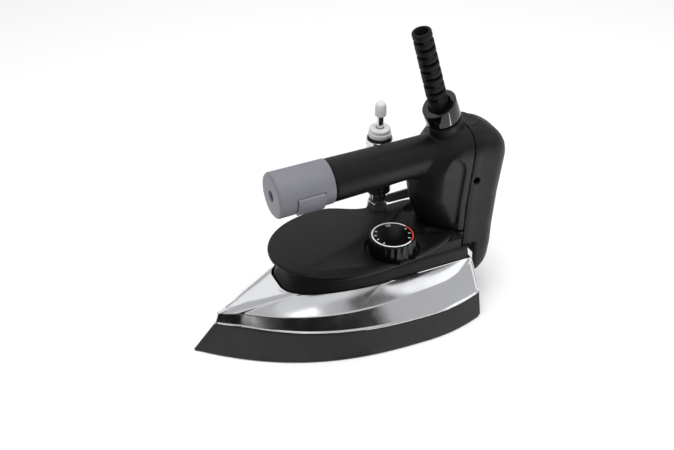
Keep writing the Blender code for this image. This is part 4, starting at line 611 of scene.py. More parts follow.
def make_shell():
    low = SOLE_TOP + GAP
    lip_top = low + LIP_HEIGHT
    nose, wall = SOLE_SETBACK, SHELL_WALL
    foot = sole_ring(lip_top + 0.0002, SOLE_INSET, nose)
    crease = sole_ring(crease_z, crease_inset, nose + CREASE_SETBACK)
    opening = blunt_ring(OPENING_Z)
    side = blended(foot, crease, 12)
    upper = blended(crease, opening, 22, 0.0006)
    rim = blunt_ring(OPENING_Z - 0.0003, 0.0005)
    outer = [sole_ring(low, SOLE_INSET - LIP + 0.0003, nose - LIP),
             sole_ring(low + 0.0003, SOLE_INSET - LIP, nose - 2 * LIP),
             sole_ring(lip_top - 0.0003, SOLE_INSET - LIP, nose - 2 * LIP),
             sole_ring(lip_top, SOLE_INSET - LIP + 0.0002, nose - LIP), foot]
    inner = [blunt_ring(OPENING_Z - 1.6 * wall),
             sole_ring(lambda s: crease_z(s) - 1.2 * wall, lambda s: crease_inset(s) + 0.9 * wall,
                       nose + CREASE_SETBACK + 2.5 * wall, wall),
             sole_ring(low, SOLE_INSET + wall, nose + 2.5 * wall, wall)]
    creased = [[tuple(Vector(a).lerp(Vector(b), 0.35)) for a, b in zip(side[-1], crease)],
               [tuple(Vector(a).lerp((Vector(b) + Vector(c)) / 2, 0.12))
                for a, b, c in zip(crease, side[-1], upper[0])],
               [tuple(Vector(a).lerp(Vector(b), 0.65)) for a, b in zip(crease, upper[0])]]
    rings = outer + side + creased + upper + [rim, opening]
    piece("body_shell", loft(rings + inner, closed=True), angle=50)


# ---------------------------------------------------------------- top cover and dial

def make_top_cover():
    foot, waist = -NECK_GAP, -NECK_GAP - NECK_WAIST
    low_rear = OPENING_REAR - NECK_GAP
    ceiling = PLATE_UNDER - 0.0026
    step = NECK_STEP
    rings = [blunt_ring(ceiling, waist - NECK_WALL, NECK_REAR - NECK_WALL),
             blunt_ring(step + 0.001, waist - NECK_WALL, NECK_REAR - NECK_WALL),
             blunt_ring(NECK_FOOT, foot - NECK_WALL, low_rear - NECK_WALL),
             blunt_ring(NECK_FOOT, foot, low_rear),
             blunt_ring(OPENING_Z + 0.0008, foot, low_rear),
             blunt_ring(OPENING_Z + 0.0020, foot - 0.0004, low_rear),
             blunt_ring(OPENING_Z + 0.0060, foot - 0.0012, low_rear),
             blunt_ring(step - 0.0006, waist + 0.0008, low_rear),
             blunt_ring(step, waist + 0.0003, low_rear - 0.0003),
             blunt_ring(step + 0.0006, waist, NECK_REAR + 0.0004),
             blunt_ring(step + 0.0014, waist, NECK_REAR),
             blunt_ring(PLATE_UNDER - 0.0010, waist, NECK_REAR),
             blunt_ring(PLATE_UNDER + 0.0007, waist + 0.0012, NECK_REAR)]
    cover = mesh_object("cover", loft(rings))
    plate = [plate_ring(PLATE_UNDER, 0.0030), plate_ring(PLATE_UNDER + 0.0003, 0.0012),
             plate_ring(PLATE_UNDER + 0.0012, 0.0003), plate_ring(PLATE_UNDER + 0.0022),
             plate_ring(PLATE_TOP - 0.0016), plate_ring(PLATE_TOP - 0.0008, 0.0003),
             plate_ring(PLATE_TOP - 0.0002, 0.0010), plate_ring(PLATE_TOP, 0.0020)]
    join(cover, loft(plate))
    seat = [(x, min(y, NECK_REAR), z) for x, y, z in column_ring(PLATE_TOP + GAP, -0.0008)]
    join(cover, loft([[(x, y, z) for x, y, _ in seat] for z in (PLATE_UNDER, PLATE_TOP)]))
    join(cover, rod(0.0085, OPENING_Z + 0.005, PLATE_TOP - 0.001, VALVE))
    floor, radius = PLATE_TOP - WELL_DEPTH, DIAL_RADIUS + WELL_GAP
    dish = rounded([(0, floor), (radius - 0.0006, floor), (radius, floor + 0.0016),
                    (radius + 0.0006, PLATE_TOP - 0.0004), (radius + 0.0030, PLATE_TOP + 0.001),
                    (0, PLATE_TOP + 0.001)], 0.0012)
    cut(cover, turned(dish, DIAL, steps=90))
    for side in (1, -1):
        cut(cover, rod(SCREW_POCKET_RADIUS, PLATE_TOP - SCREW_POCKET, PLATE_TOP + 0.001,
                       (COVER_SCREW_X * side, COVER_SCREW_Y, 0)))
    piece("top_cover", cover, angle=40)


def make_dial():
    foot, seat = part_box("dial_knob")[0].z, DIAL_TOP - SCALE_THICKNESS - GAP
    levels = [(foot, 0.0012, 0.0), (foot, 0.0004, 0.0005), (foot + 0.0004, 0.0, 0.0008),
              (DIAL_TOP - 0.0016, 0.0, 0.0008), (DIAL_TOP - 0.0010, 0.0002, 0.0007),
              (DIAL_TOP - 0.0003, 0.0007, 0.0002), (DIAL_TOP, 0.0012, 0.0),
              (DIAL_TOP, DIAL_RADIUS - SCALE_RADIUS - GAP, 0.0),
              (seat, DIAL_RADIUS - SCALE_RADIUS - GAP, 0.0)]
    rings = [fluted_ring(DIAL, z, DIAL_RADIUS - inset, depth, DIAL_FLUTES, 8, 0.7)
             for z, inset, depth in levels]
    piece("dial_knob", loft(rings), material=SATIN_KNOB)
    make_scale(seat)


def band(inner, outer, start, end, low, high):
    """A flat band round the dial, from one angle to another in degrees."""
    count = max(2, round(abs(end - start) / 4))
    angles = [math.radians(start + (end - start) * i / count) for i in range(count + 1)]
    edge = [(DIAL.x + r * math.cos(a), DIAL.y + r * math.sin(a))
            for r, row in ((outer, angles), (inner, angles[::-1])) for a in row]
    return prism(edge, low, high)


def make_scale(seat):
    """A black disc with a printed ring, a heat arc, ticks and a pointer patch."""
    face, ink = DIAL_TOP - INK_PROUD, DIAL_TOP
    disc = [(0, seat + GAP), (SCALE_RADIUS - 0.0001, seat + GAP), (SCALE_RADIUS, seat + 0.0005),
            (SCALE_RADIUS, face - 0.0001), (SCALE_RADIUS - 0.0002, face), (0, face)]
    piece("dial_scale", turned(disc, DIAL, steps=96), material=BLACK_INK)
    under = face - INK_DEPTH
    prints = [("ring", WHITE_INK, [(0.0149, 0.0160, 114, 394)]),
              ("heat_arc", RED_INK, [(0.0148, 0.0160, 36, 112)]),
              ("ticks", WHITE_INK, [(0.0121, 0.0137, a - TICK_HALF, a + TICK_HALF)
                                    for a in TICK_ANGLES]),
              ("pointer", GREY_INK, [(0.0108, 0.0138, 160, 178)])]
    for name, ink_material, bands in prints:
        marks = bmesh.new()
        for inner, outer, start, end in bands:
            add_to(marks, band(inner, outer, start, end, under, ink))
        made = mesh_object("dial_" + name, marks)
        made.data.materials.append(ink_material)
        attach(made, BODY_OF["dial_scale"])


# ---------------------------------------------------------------- handle and rear cover

def seam_y(z):
    """Where the handle's column ends and the rear cover starts."""
    return REAR - 0.009 + 0.09 * (z - 0.058)


def rounded_half(z):
    """Half the width of the column and the rear cover, rounded over the top."""
    reach = max(0.0, (z - (COLUMN_TOP - 0.024)) / 0.024)
    flare = COLUMN_FLARE * max(0.0, (0.090 - z) / 0.022)
    return (COLUMN_HALF + flare) * (1 - min(reach, 0.985) ** 3) ** (1 / 3)


def column_front(z):
    """The column's front edge: forward up to the grip, and back again over its top."""
    share = min(1.0, (z - PLATE_TOP) / 0.030)
    over = max(0.0, (z - COLUMN_SHOULDER) / (COLUMN_TOP - COLUMN_SHOULDER))
    return (COLUMN_FOOT_Y + (COLUMN_WAIST_Y - COLUMN_FOOT_Y) * math.sin(share * math.pi / 2)
            + (COLUMN_TOP_Y - COLUMN_WAIST_Y) * over)


def column_ring(z, inset=0.0):
    """One level section: an elliptic front and straight sides back to the seam."""
    half, front, rear = rounded_half(z) - inset, column_front(z) + inset, seam_y(z)
    foot = 1 - min(1.0, (z - PLATE_TOP) / 0.030)
    shoulder = front + (rear - front) * (0.62 + 0.22 * foot)
    side = [(half * math.sin(a), shoulder - (shoulder - front) * math.cos(a) ** (1 + 2 * foot), z)
            for a in (math.radians(3 + 86.9 * i / 20) for i in range(21))]
    return mirrored(side + [(half, rear, z)])


def grip_ring(distance, radius):
    """A round section of the grip, at a distance behind the cap's face."""
    steps, normal = 56, Vector((0, -math.sin(TILT), math.cos(TILT)))
    return [CAP_FACE + distance * GRIP_AXIS
            + Vector((radius * math.cos(math.tau * i / steps), 0, 0))
            + radius * math.sin(math.tau * i / steps) * normal for i in range(steps)]


def side_panel(side):
    """The shallow hollow in the column's side, below the ridge that runs into the grip."""
    top = [(REAR - 0.0385, 0.1040), (REAR - 0.0365, 0.1160), (REAR - 0.0315, 0.1260),
           (REAR - 0.0240, 0.1318), (REAR - 0.0165, 0.1322), (REAR - 0.0115, 0.1285)]
    rear = [(seam_y(z) - PANEL_MARGIN, z) for z in (0.122, PANEL_FOOT)]
    front = [(REAR - 0.0300, PANEL_FOOT), (REAR - 0.0375, 0.0900)]
    outline = top + rear + front
    near = COLUMN_HALF - PANEL_DEPTH
    return loft([[(side * x, y, z) for y, z in outline] for x in (near, near + 0.010)])


def make_handle():
    levels = [PLATE_TOP + GAP + (COLUMN_TOP - PLATE_TOP - GAP) * (1 - (1 - i / 60) ** 2)
              for i in range(61)]
    column = mesh_object("column", loft([column_ring(z) for z in levels]))
    cut(column, side_panel(1), side_panel(-1))
    solids = bmesh.new()
    solids.from_mesh(column.data)
    bpy.data.objects.remove(column, do_unlink=True)
    radius = GRIP_RADIUS - CAP_TAPER - GRIP_STEP
    knots = [(0.0006, 0.0), (0.030, 0.3), (0.060, 0.9), (GRIP_END - JUNCTION, 1.0)]
    rings = [grip_ring(JUNCTION, radius - 0.0006)]
    for (start, thin), (end, thinner) in zip(knots, knots[1:]):
        for t in (i / 8 for i in range(8)):
            share = thin + (thinner - thin) * (t * t * (3 - 2 * t))
            rings.append(grip_ring(JUNCTION + start + (end - start) * t,
                                   radius - GRIP_TAPER * share))
    rings.append(grip_ring(GRIP_END, radius - GRIP_TAPER))
    boss = turned([(0, -0.024), (BOSS_RADIUS - 0.0008, -0.024), (BOSS_RADIUS, -GAP), (0, -GAP)],
                  GLAND, GLAND_AXIS)
    add_to(solids, loft(rings), boss)
    handle = moulded(mesh_object("solids", solids), HANDLE_GRID, HANDLE_ROUNDS)
    behind = [(seam_y(0.050), 0.050), (REAR + 0.060, 0.050), (REAR + 0.060, 0.180),
              (seam_y(0.180), 0.180)]
    cut(handle, loft([[(x, y, z) for y, z in behind] for x in (-0.040, 0.040)]))
    cut(handle, box((-0.040, 0.060, 0.060), (0.040, 0.120, PLATE_TOP + GAP)))
    cut(handle, rod(0.0022, -0.004, 0.008, LEAD_ENTRY, (1, 0, 0), steps=24))
    piece("handle", handle, angle=50)


def cover_back(z):
    """The rear cover's back: it leans out going up and rounds over at the top."""
    share = (z - COVER_FOOT) / (COVER_SHOULDER - COVER_FOOT)
    lean = BACK_FOOT + (BACK_TOP - BACK_FOOT) * min(max(share, 0.0), 1.0) ** 0.75
    over = max(0.0, (z - COVER_SHOULDER) / (COLUMN_TOP - COVER_SHOULDER))
    under = max(0.0, (COVER_FOOT + 0.008 - z) / 0.008)
    return REAR + lean * (1 - 0.62 * min(over, 1.0) ** 2.6) - 0.003 * under ** 2


def cover_ring(z, inset=0.0, front=None):
    front = seam_y(z) + GAP if front is None else front
    half, back = rounded_half(z) - inset, cover_back(z) - inset
    corner = min(COVER_CORNER - inset, half * 0.8, (back - front) * 0.8)
    edge = 0.0006
    side = [(half - edge, front, z), (half - edge * 0.3, front + edge * 0.3, z),
            (half, front + edge, z)]
    fall = COVER_FALL * smooth_step(z, NOTCH_Z - 0.010, NOTCH_Z + 0.010)
    side += [(half, front + 0.0080, z), (half - 0.0002, front + 0.0092, z)]
    side += [(half - fall - corner + corner * math.cos(a), back - corner + corner * math.sin(a), z)
             for a in (math.radians(6 * i) for i in range(16))]
    side.append((half * 0.06, back, z))
    return mirrored(side)


def make_rear_cover():
    levels = [COVER_FOOT + (COLUMN_TOP - COVER_FOOT) * math.sin(math.pi / 2 * i / 70)
              for i in range(71)]
    cover = mesh_object("cover", loft([cover_ring(z) for z in levels]))
    inside = [COVER_FOOT - 0.001 + (COLUMN_TOP - 0.0046 - COVER_FOOT) * i / 20 for i in range(21)]
    cut(cover, loft([cover_ring(z, COVER_WALL, seam_y(z) - 0.006) for z in inside]))
    cut(cover, box((-0.040, 0.050, 0.010), (0.040, SKIRT_Y, NOTCH_Z)))
    for side in (1, -1):
        cut(cover, turned([(0, 0.0190), (0.0027, 0.0190), (0.0027, COLUMN_HALF - 0.0005),
                           (0.0034, COLUMN_HALF + 0.0003), (0.0034, 0.030), (0, 0.030)],
                          (0, *SIDE_SCREW), (side, 0, 0), 32))
    piece("rear_cover", cover, angle=40)


# ---------------------------------------------------------------- cap and button

def make_cap():
    outer, edge = GRIP_RADIUS, CAP_EDGE
    profile = [(CAP_BORE, SCREW_RECESS), (SCREW_RECESS - 0.0004, SCREW_RECESS),
               (SCREW_RECESS, SCREW_RECESS - 0.0004), (SCREW_RECESS, 0.0006),
               (SCREW_RECESS + 0.0005, 0.0)]
    for i in range(9):
        angle = math.radians(90 * i / 8)
        profile.append((outer - edge + edge * math.sin(angle), edge * (1 - math.cos(angle))))
    end = outer - CAP_TAPER
    profile += [(end, CAP_LENGTH - 0.0005), (end - 0.0002, CAP_LENGTH - 0.0001),
                (end - 0.0005, CAP_LENGTH), (outer - CAP_WALL, CAP_LENGTH),
                (outer - CAP_WALL, CAP_WEB), (CAP_BORE, CAP_WEB)]
    cap = mesh_object("cap", turned(profile, CAP_FACE, GRIP_AXIS, 96, closed=True))
    cut(cap, button_block(BUTTON_LENGTH, BUTTON_WIDTH, 0.012, 0.030, BUTTON_START, 0.0008))
    piece("handle_cap", softened(cap, 0.00025, angle=55))


def button_frame():
    """Local +X points out through the button, +Y runs back along the grip."""
    return (Matrix.Translation(CAP_FACE) @ Matrix.Rotation(TILT, 4, "X")
            @ Matrix.Rotation(-BUTTON_ROLL, 4, "Y"))


def button_block(length, width, low, high, start, edge=0.0):
    return box((low, start, -width / 2), (high, start + length, width / 2), button_frame(), edge)


def make_button():
    slack, inner = BUTTON_SLACK, GRIP_RADIUS - CAP_WALL
    button = mesh_object("button", rod(GRIP_RADIUS + BUTTON_PROUD, 0.001, CAP_LENGTH, CAP_FACE,
                                       GRIP_AXIS, 180))
    body = button_block(BUTTON_LENGTH - 2 * slack, BUTTON_WIDTH - 2 * slack, 0.004, 0.030,
                        BUTTON_START + slack, 0.0006)
    combine(button, [body], "INTERSECT")
    flange = mesh_object("flange", rod(inner - slack, 0.0065, 0.0387, CAP_FACE, GRIP_AXIS, 90))
    wide = button_block(BUTTON_LENGTH + 0.003, BUTTON_WIDTH + 0.002, 0.006, 0.030,
                        BUTTON_START - 0.0015)
    combine(flange, [wide], "INTERSECT")
    shape = bmesh.new()
    shape.from_mesh(flange.data)
    bpy.data.objects.remove(flange, do_unlink=True)
    join(button, shape)
    cut(button, rod(inner - slack - BUTTON_WALL, 0.001, CAP_LENGTH, CAP_FACE, GRIP_AXIS, 84))
    piece("trigger_button", softened(button, 0.0005, 3, 45))


# ---------------------------------------------------------------- gland, boot

def make_collar():
    top = COLLAR_LENGTH
    profile = rounded([(0.0112, 0.0132), (0.0112, 0.0006), (COLLAR_RADIUS, 0.0006),
                       (COLLAR_RADIUS, top), (BOOT_RADIUS + 0.0008, top),
                       (BOOT_RADIUS + 0.0008, 0.0132)], 0.0011)
    collar = turned(profile, GLAND, GLAND_AXIS, 80, closed=True)
    for vert in collar.verts:
        share = ((vert.co - GLAND).dot(GLAND_AXIS) - 0.006) / (top - 0.006)
        forward = 1 - (vert.co - GLAND).dot(GLAND_SIDE) / COLLAR_RADIUS
        vert.co -= GLAND_AXIS * COLLAR_DROP * forward / 2 * max(0.0, share)
    piece("gland_collar", collar)


def boot_frame(distance):
    """Centre and direction at a distance along the boot, which straightens as it rises."""
    def lean_at(part):
        return GLAND_LEAN + (BOOT_LEAN - GLAND_LEAN) * min(1.0, max(0.0, part) / 0.010)
    
    centre, steps = GLAND + GLAND_AXIS * BOOT_SEAT, 12
    for i in range(steps):
        turn = lean_at(distance * (i + 0.5) / steps)
        centre = centre + Vector((0, -math.sin(turn), math.cos(turn))) * distance / steps
    lean = lean_at(distance)
    return centre, Vector((0, -math.sin(lean), math.cos(lean)))


def boot_ring(distance, radius):
    """One section; radius may depend on the angle."""
    centre, direction = boot_frame(distance)
    up, steps = Vector((0, direction.z, -direction.y)), 56
    points = []
    for i in range(steps):
        angle = math.tau * i / steps
        reach = radius(angle) if callable(radius) else radius
        points.append(centre + reach * (math.cos(angle) * Vector((1, 0, 0))
                                        + math.sin(angle) * up))
    return points


def make_boot():
    """A cord boot of short segments; bridges between them alternate from side to side."""
    rings = [boot_ring(-0.0043, BOOT_BORE), boot_ring(-0.0043, BOOT_FLANGE),
             boot_ring(-0.0036, BOOT_FLANGE), boot_ring(-0.0034, BOOT_RADIUS),
             boot_ring(0.0030, BOOT_RADIUS)]
    start = 0.0090
    pitch = (BOOT_BODY - start) / BOOT_RIBS
    for i in range(BOOT_RIBS):
        low, full = start + pitch * i, BOOT_RADIUS * (1 - BOOT_TAPER * i / BOOT_RIBS)
        phase = math.pi / 2 * (i % 2)

        def slotted(angle, full=full, phase=phase):
            bridge = smooth_step(abs(math.cos(angle - phase)), 0.86, 0.93)
            return full - BOOT_GROOVE * (1 - bridge)

        rings += [boot_ring(low - 0.0016, full), boot_ring(low - 0.0010, full - 0.0003),
                  boot_ring(low - 0.0008, slotted), boot_ring(low + 0.0012, slotted),
                  boot_ring(low + 0.0014, full - 0.0003), boot_ring(low + 0.0020, full)]
    tip = BOOT_RADIUS * (1 - BOOT_TAPER)
    rings += [boot_ring(BOOT_BODY - 0.0008, tip), boot_ring(BOOT_BODY - 0.0002, tip - 0.0003),
              boot_ring(BOOT_BODY, tip - 0.0008), boot_ring(BOOT_BODY, BOOT_BORE + 0.0004),
              boot_ring(BOOT_BODY - 0.0005, BOOT_BORE), boot_ring(0.010, BOOT_BORE)]
    piece("cord_boot", loft(rings, closed=True), angle=40)


# ---------------------------------------------------------------- drip valve

def make_valve_foot():
    foot = PLATE_TOP + GAP
    corners = [(VALVE.x + HEX_RADIUS * math.cos(math.pi / 3 * i + 0.3),
                VALVE.y + HEX_RADIUS * math.sin(math.pi / 3 * i + 0.3)) for i in range(6)]
    base = mesh_object("base", prism(corners, foot, HEX_TOP))
    dome = rounded([(0, foot - 0.001), (HEX_RADIUS + 0.0006, foot - 0.001),
                    (HEX_RADIUS + 0.0002, HEX_TOP - 0.0012),
                    (HEX_RADIUS - 0.0014, HEX_TOP + 0.0001),
                    (0, HEX_TOP + 0.0001)], 0.0005)
    combine(base, [turned(dome, VALVE)], "INTERSECT")
    join(base, rod(0.0034, PLATE_UNDER - 0.0016, foot + 0.001, VALVE, steps=32))
    cut(base, rod(FITTING_BORE, foot + 0.002, HEX_TOP + 0.001, VALVE, steps=48))
    piece("valve_base", softened(base, 0.0003, 2, 30), material=CHROME)
    low, high = HEX_TOP + 0.0014, CAN_FOOT - 0.0005
    levels = [(low, NUT_CHAMFER, 0.0), (low + NUT_CHAMFER, 0.0, 0.0004),
              (high - NUT_CHAMFER, 0.0, 0.0004), (high, NUT_CHAMFER, 0.0)]
    nut = mesh_object("nut", loft([fluted_ring(VALVE, z, NUT_RADIUS - inset, depth, NUT_FLUTES, 6)
                                   for z, inset, depth in levels]))
    cut(nut, rod(FITTING_BORE, low - 0.001, high + 0.001, VALVE, steps=48))
    piece("valve_nut", nut, material=BRIGHT_FITTING)


def make_valve_body():
    foot, top, outer, inner = CAN_FOOT, CAN_TOP, VALVE_RADIUS, VALVE_RADIUS - CAN_WALL
    profile = [(0.0012, PLATE_TOP + 0.0027), (0.0042, PLATE_TOP + 0.0027), (0.0042, foot),
               (outer - 0.0008, foot), (outer - 0.0002, foot + 0.0002), (outer, foot + 0.0008),
               (outer, top - 0.0036), (outer - 0.0004, top - 0.0033),
               (outer - 0.0004, top - 0.0028),
               (outer, top - 0.0025), (outer, top - 0.0003), (outer - 0.0003, top), (inner, top),
               (inner, foot + 0.0020), (0.0012, foot + 0.0020)]
    body = mesh_object("can", turned(profile, VALVE, steps=72, closed=True))
    inlet = (VALVE.x, VALVE.y, top - INLET_DROP)
    cut(body, rod(0.0034, outer - 0.003, outer + 0.002, inlet, INLET_AXIS, 32))
    cut(body, rod(0.0018, outer - 0.003, outer + 0.002, (VALVE.x, VALVE.y, CAN_LEAD_Z),
                  (0, 1, 0), 24))
    piece("valve_body", body, material=BRIGHT_FITTING)
    start = inner + GAP
    barb = [(0.0016, start), (0.0031, start), (0.0031, outer + GAP), (0.0046, outer + GAP),
            (0.0048, outer + 0.0005), (0.0048, outer + 0.0020), (0.0046, outer + 0.0022),
            (0.0026, outer + 0.0026), (0.0034, outer + 0.0050), (0.0026, outer + 0.0072),
            (0.0034, outer + 0.0080), (0.0026, outer + 0.0108), (0.0024, outer + 0.0110),
            (0.0016, outer + 0.0110)]
    piece("water_inlet", turned(barb, inlet, INLET_AXIS, 48, closed=True))


def make_valve_top():
    ring_z = CAN_TOP + 0.0011
    ring = [(0.0086 + 0.0008 * math.cos(a), ring_z + 0.0008 * math.sin(a))
            for a in (math.tau * i / 16 for i in range(16))]
    piece("valve_o_ring", turned(ring, VALVE, steps=64, closed=True))
    bore, shoulder = STEM_RADIUS + 0.0004, CAN_TOP + 0.0022
    bonnet = rounded([(bore, BONNET_TOP - 0.0040), (bore, CAN_TOP - 0.0060),
                      (0.0073, CAN_TOP - 0.0060), (0.0073, shoulder), (0.00875, shoulder),
                      (0.00875, shoulder + 0.0034), (0.0080, shoulder + 0.0036),
                      (0.0082, shoulder + 0.0042), (0.0082, BONNET_TOP - 0.0009),
                      (0.0073, BONNET_TOP), (bore, BONNET_TOP), (bore, BONNET_TOP - 0.0035)],
                     0.0005)
    piece("valve_bonnet", turned(bonnet, VALVE, steps=72, closed=True))
    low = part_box("valve_stem")[0].z
    piece("valve_stem", turned([(0, low), (STEM_RADIUS, low), (STEM_RADIUS, STEM_TOP - 0.0005),
                                (STEM_RADIUS - 0.0005, STEM_TOP), (0, STEM_TOP)], VALVE),
          material=BRIGHT_FITTING)
    make_flow_knob()


def make_flow_knob():
    levels = [(KNOB_FOOT, 0.90, 0.6), (KNOB_FOOT + 0.0003, 0.97, 1.0),
              (KNOB_FOOT + 0.0008, 1.0, 1.0),
              (KNOB_TOP - 0.0046, 0.97, 1.0), (KNOB_TOP - 0.0036, 0.95, 0.6),
              (KNOB_TOP - 0.0027, 0.90, 0.1), (KNOB_TOP - 0.0018, 0.80, 0.0),
              (KNOB_TOP - 0.0010, 0.66, 0.0), (KNOB_TOP - 0.0004, 0.46, 0.0),
              (KNOB_TOP, 0.20, 0.0)]
    rings = [fluted_ring(VALVE, z, KNOB_RADIUS * share, KNOB_FLUTE_DEPTH * groove, KNOB_FLUTES, 8)
             for z, share, groove in levels]
    knob = mesh_object("knob", loft(rings))
    cut(knob, rod(STEM_RADIUS + GAP, KNOB_FOOT - 0.001, STEM_TOP + GAP, VALVE, steps=48))
    piece("valve_knob", knob)


def make_bracket():
    """A steel strip that ties the valve to the column's right side."""
    low, thick = HEX_TOP + GAP, 0.0008
    section = [(FITTING_BORE, low), (0.0067, low), (0.0067, low + thick),
               (FITTING_BORE, low + thick)]
    washer = turned(section, VALVE, steps=64, closed=True)
    bracket = mesh_object("bracket", washer)
    outer = -(COLUMN_HALF + COLUMN_FLARE) - 0.0006
    front, rear = VALVE.y + 0.0044, BRACKET_SCREW[0] + 0.006
    profile = [(front, low), (front + 0.004, low - 0.0045), (rear, low - 0.0045),
               (rear, low + 0.0050), (front + 0.004, low + 0.0028), (front, low + thick)]
    join(bracket, loft([[(x, y, z) for y, z in profile] for x in (outer + 0.0016, outer)]))
    cut(bracket, rod(0.0018, 0.020, 0.040, (0, *BRACKET_SCREW), (-1, 0, 0), 24))
    piece("valve_bracket", softened(bracket, 0.00025, 2, 40))
    head = -outer - 0.0016 + GAP
    profile = rounded([(0, 0.0215), (0.0015, 0.0215), (0.0015, head), (0.0027, head),
                       (0.0026, head + 0.0015), (0.0010, head + 0.0019), (0, head + 0.0019)],
                      0.0003)
    screw = mesh_object("screw", turned(profile, (0, *BRACKET_SCREW), (-1, 0, 0), 40))
    y, z = BRACKET_SCREW
    cut(screw, box((-head - 0.0030, y - 0.0003, z - 0.003),
                   (-head - 0.0010, y + 0.0003, z + 0.003)))
    piece("bracket_screw", screw)


def make_valve_lead():
    x, y, z = VALVE.x, VALVE.y, CAN_LEAD_Z
    start, entry = VALVE_RADIUS - CAN_WALL, LEAD_ENTRY
    points = [(x, y + start + 0.0001, z), (x, y + start + 0.0040, z),
              (x - 0.0010, y + start + 0.0110, z - 0.0010),
              entry + Vector((-0.0065, -0.010, -0.0005)), entry + Vector((-0.0035, -0.0015, 0)),
              entry + Vector((0.0010, 0, 0)), entry + Vector((0.0060, 0, 0))]
    piece("lead_valve", tube(points, 0.0015))


def make_cover_screws():
    seat = PLATE_TOP - SCREW_POCKET + GAP
    for name, side in (("left", 1), ("right", -1)):
        x, y = COVER_SCREW_X * side, COVER_SCREW_Y
        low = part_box("cover_screw_" + name)[0].z
        profile = rounded([(0, low), (0.0020, low), (0.0020, seat), (0.0034, seat),
                           (0.0034, seat + 0.0014), (0.0022, seat + 0.0022), (0, seat + 0.0022)],
                          0.0003)
        screw = mesh_object("screw", turned(profile, (x, y, 0), steps=40))
        for long_x, long_y in ((0.0004, 0.0026), (0.0026, 0.0004)):
            cut(screw, box((x - long_x, y - long_y, seat + 0.0012),
                           (x + long_x, y + long_y, seat + 0.003)))
        # near-black screw: painted shade in the plate's screw pocket
        piece("cover_screw_" + name, screw, material=RECESS_SHADE_SCREW)


def make_cap_screw():
    """A socket-head screw at the bottom of the cap's recess."""
    seat, head = SCREW_RECESS - GAP, CAP_HEAD
    web = JUNCTION + 0.012
    profile = rounded([(0, seat - head), (CAP_HEAD_RADIUS, seat - head),
                       (CAP_HEAD_RADIUS, seat), (0.0020, seat), (0.0020, web),
                       (0, web + 0.0015)], 0.0003)
    screw = mesh_object("screw", turned(profile, CAP_FACE, GRIP_AXIS, 48))
    socket = prism(hexagon(SOCKET_RADIUS), seat - head - 0.001, seat - 0.0004)
    bmesh.ops.transform(socket, matrix=facing(CAP_FACE, GRIP_AXIS), verts=socket.verts)
    # near-black screw: painted shade at the bottom of the cap's recess
    piece("cap_screw", cut(screw, socket), material=RECESS_SHADE_SCREW)


# ---------------------------------------------------------------- studio

FLOOR_DROP, FLOOR_HALF = 0.0003, 6      # the floor lies just under the sole
CARD_DISTANCE = 1.5
WORLD_STRENGTH = 0.55
LENS = 67.39
CAMERA_PLACE = Vector((0.70396, -0.32762, 0.62064))
CAMERA_RIGHT = Vector((0.41978, 0.90750, 0.01497))
CAMERA_UP = Vector((-0.52088, 0.22737, 0.82279))
CAMERA_BACK = Vector((0.74328, -0.35319, 0.56815))
# Curved cards that show only in reflections: limits in degrees round from +X, then
# above the floor, and how brightly each one glows
REFLECTORS = [
    ("dark_side_card", (-85, 14), (-2, 25), 0.01),
    ("left_grey_card", (-85, -50), (25, 62), 0.50),
    ("front_card", (-50, 14), (25, 57), 0.72),
    ("grey_card", (14, 48), (48, 62), 0.50),
    ("dark_boom_card", (8, 47), (62, 72), 0.07),
    ("streak_softbox", (-48, -20), (57, 66), 1.7),
    ("heel_softbox", (48, 82), (24, 66), 1.25),
    ("top_card", (-180, 180), (76, 90), 0.75),
    ("back_card", (110, 230), (30, 70), 0.95),
]
# Lamps: place, the point each one faces, diameter and watts
LAMPS = [
    ("top_softbox", (0.1, 0.1, 1.3), (0, 0, 0.05), 1.2, 15),
    ("side_softbox", (0.9, -0.9, 0.9), (0, 0, 0.08), 0.8, 3),
]


def paper(name, colour, glow):
    """Matt card, which also gives off white light where glow is above zero."""
    made = bpy.data.materials.new(name + "_paper")
    made.use_nodes = True
    settings = {"Base Color": linear(colour), "Roughness": 0.9, "Specular IOR Level": 0.0,
                "Emission Color": linear("#ffffff"), "Emission Strength": glow}
    for socket, value in settings.items():
        made.node_tree.nodes["Principled BSDF"].inputs[socket].default_value = value
    return made


def staged(name, bm, colour, glow):
    made = mesh_object(name, bm)
    made.data.materials.append(paper(name, colour, glow))
    return made


def stage_plane(name, centre, right, up, half_width, half_height, colour, glow=0.0):
    """A flat card: the floor, or a card that only shows in reflections."""
    bm = bmesh.new()
    bmesh.ops.create_grid(bm, x_segments=1, y_segments=1, size=1)
    right, up = Vector(right).normalized(), Vector(up).normalized()
    for vert in bm.verts:
        vert.co = (Vector(centre) + right * vert.co.x * half_width + up * vert.co.y * half_height)
    return staged(name, bm, colour, glow)


def reflection_only(card):
    card.visible_camera = False
    card.visible_diffuse = False
    card.visible_shadow = False


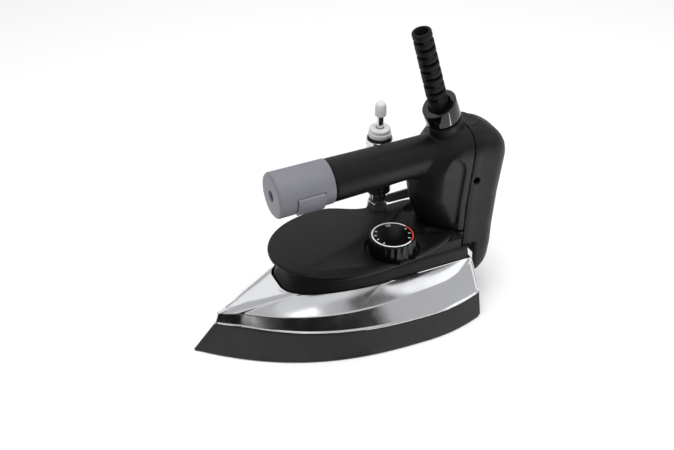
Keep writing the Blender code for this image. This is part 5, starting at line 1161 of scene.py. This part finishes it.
def reflector(name, turn, rise, glow):
    """A curved card round the iron; turn and rise are its limits in degrees."""
    bm = bmesh.new()
    bmesh.ops.create_grid(bm, x_segments=8, y_segments=6, size=0.5)
    for vert in bm.verts:
        a = math.radians(turn[0] + (turn[1] - turn[0]) * (vert.co.x + 0.5))
        e = math.radians(rise[0] + (rise[1] - rise[0]) * (vert.co.y + 0.5))
        vert.co = CARD_DISTANCE * Vector((math.cos(a) * math.cos(e), math.sin(a) * math.cos(e),
                                          math.sin(e)))
    reflection_only(staged(name, bm, "#000000", glow))


def area_light(name, place, target, size, power):
    """A round soft lamp that lights the iron but doesn't show in its reflections."""
    data = bpy.data.lights.new(name, "AREA")
    data.shape, data.size, data.energy = "DISK", size, power
    lamp = bpy.data.objects.new(name, data)
    lamp.visible_glossy = False
    lamp.matrix_world = facing(place, Vector(place) - Vector(target))
    bpy.context.scene.collection.objects.link(lamp)


def make_studio():
    stage_plane("floor", (0, 0, -FLOOR_DROP), (1, 0, 0), (0, 1, 0), FLOOR_HALF, FLOOR_HALF,
                "#f4f4f4")
    reflection_only(stage_plane("floor_flag", (0.36, -0.22, 0.0005), (1, 0, 0), (0, 1, 0),
                                0.335, 0.23, "#0b0a09"))
    reflection_only(stage_plane("gland_strip", (0.28, 0.24, 0.0007), (0.89, 0.45, 0),
                                (-0.45, 0.89, 0), 0.14, 0.012, "#ffffff", 9))
    for card in REFLECTORS:
        reflector(*card)
    for lamp in LAMPS:
        area_light(*lamp)
    world = bpy.data.worlds.new("studio")
    world.use_nodes = True
    sky = world.node_tree.nodes["Background"]
    sky.inputs["Color"].default_value = linear("#f6f6f7")
    sky.inputs["Strength"].default_value = WORLD_STRENGTH
    bpy.context.scene.world = world
    bpy.context.scene.view_settings.view_transform = "Standard"


def make_camera():
    data = bpy.data.cameras.new("camera")
    data.lens, data.clip_start = LENS, 0.01
    camera = bpy.data.objects.new("camera", data)
    turn = Matrix((CAMERA_RIGHT, CAMERA_UP, CAMERA_BACK)).transposed().to_4x4()
    camera.matrix_world = Matrix.Translation(CAMERA_PLACE) @ turn
    bpy.context.scene.collection.objects.link(camera)
    bpy.context.scene.camera = camera


for make in (dress_frame, make_sole, make_shell, make_top_cover, make_dial, make_handle,
             make_rear_cover, make_cap, make_button, make_collar, make_boot, make_valve_foot,
             make_valve_body, make_valve_top, make_bracket, make_valve_lead, make_cover_screws,
             make_cap_screw, make_studio, make_camera):
    make()
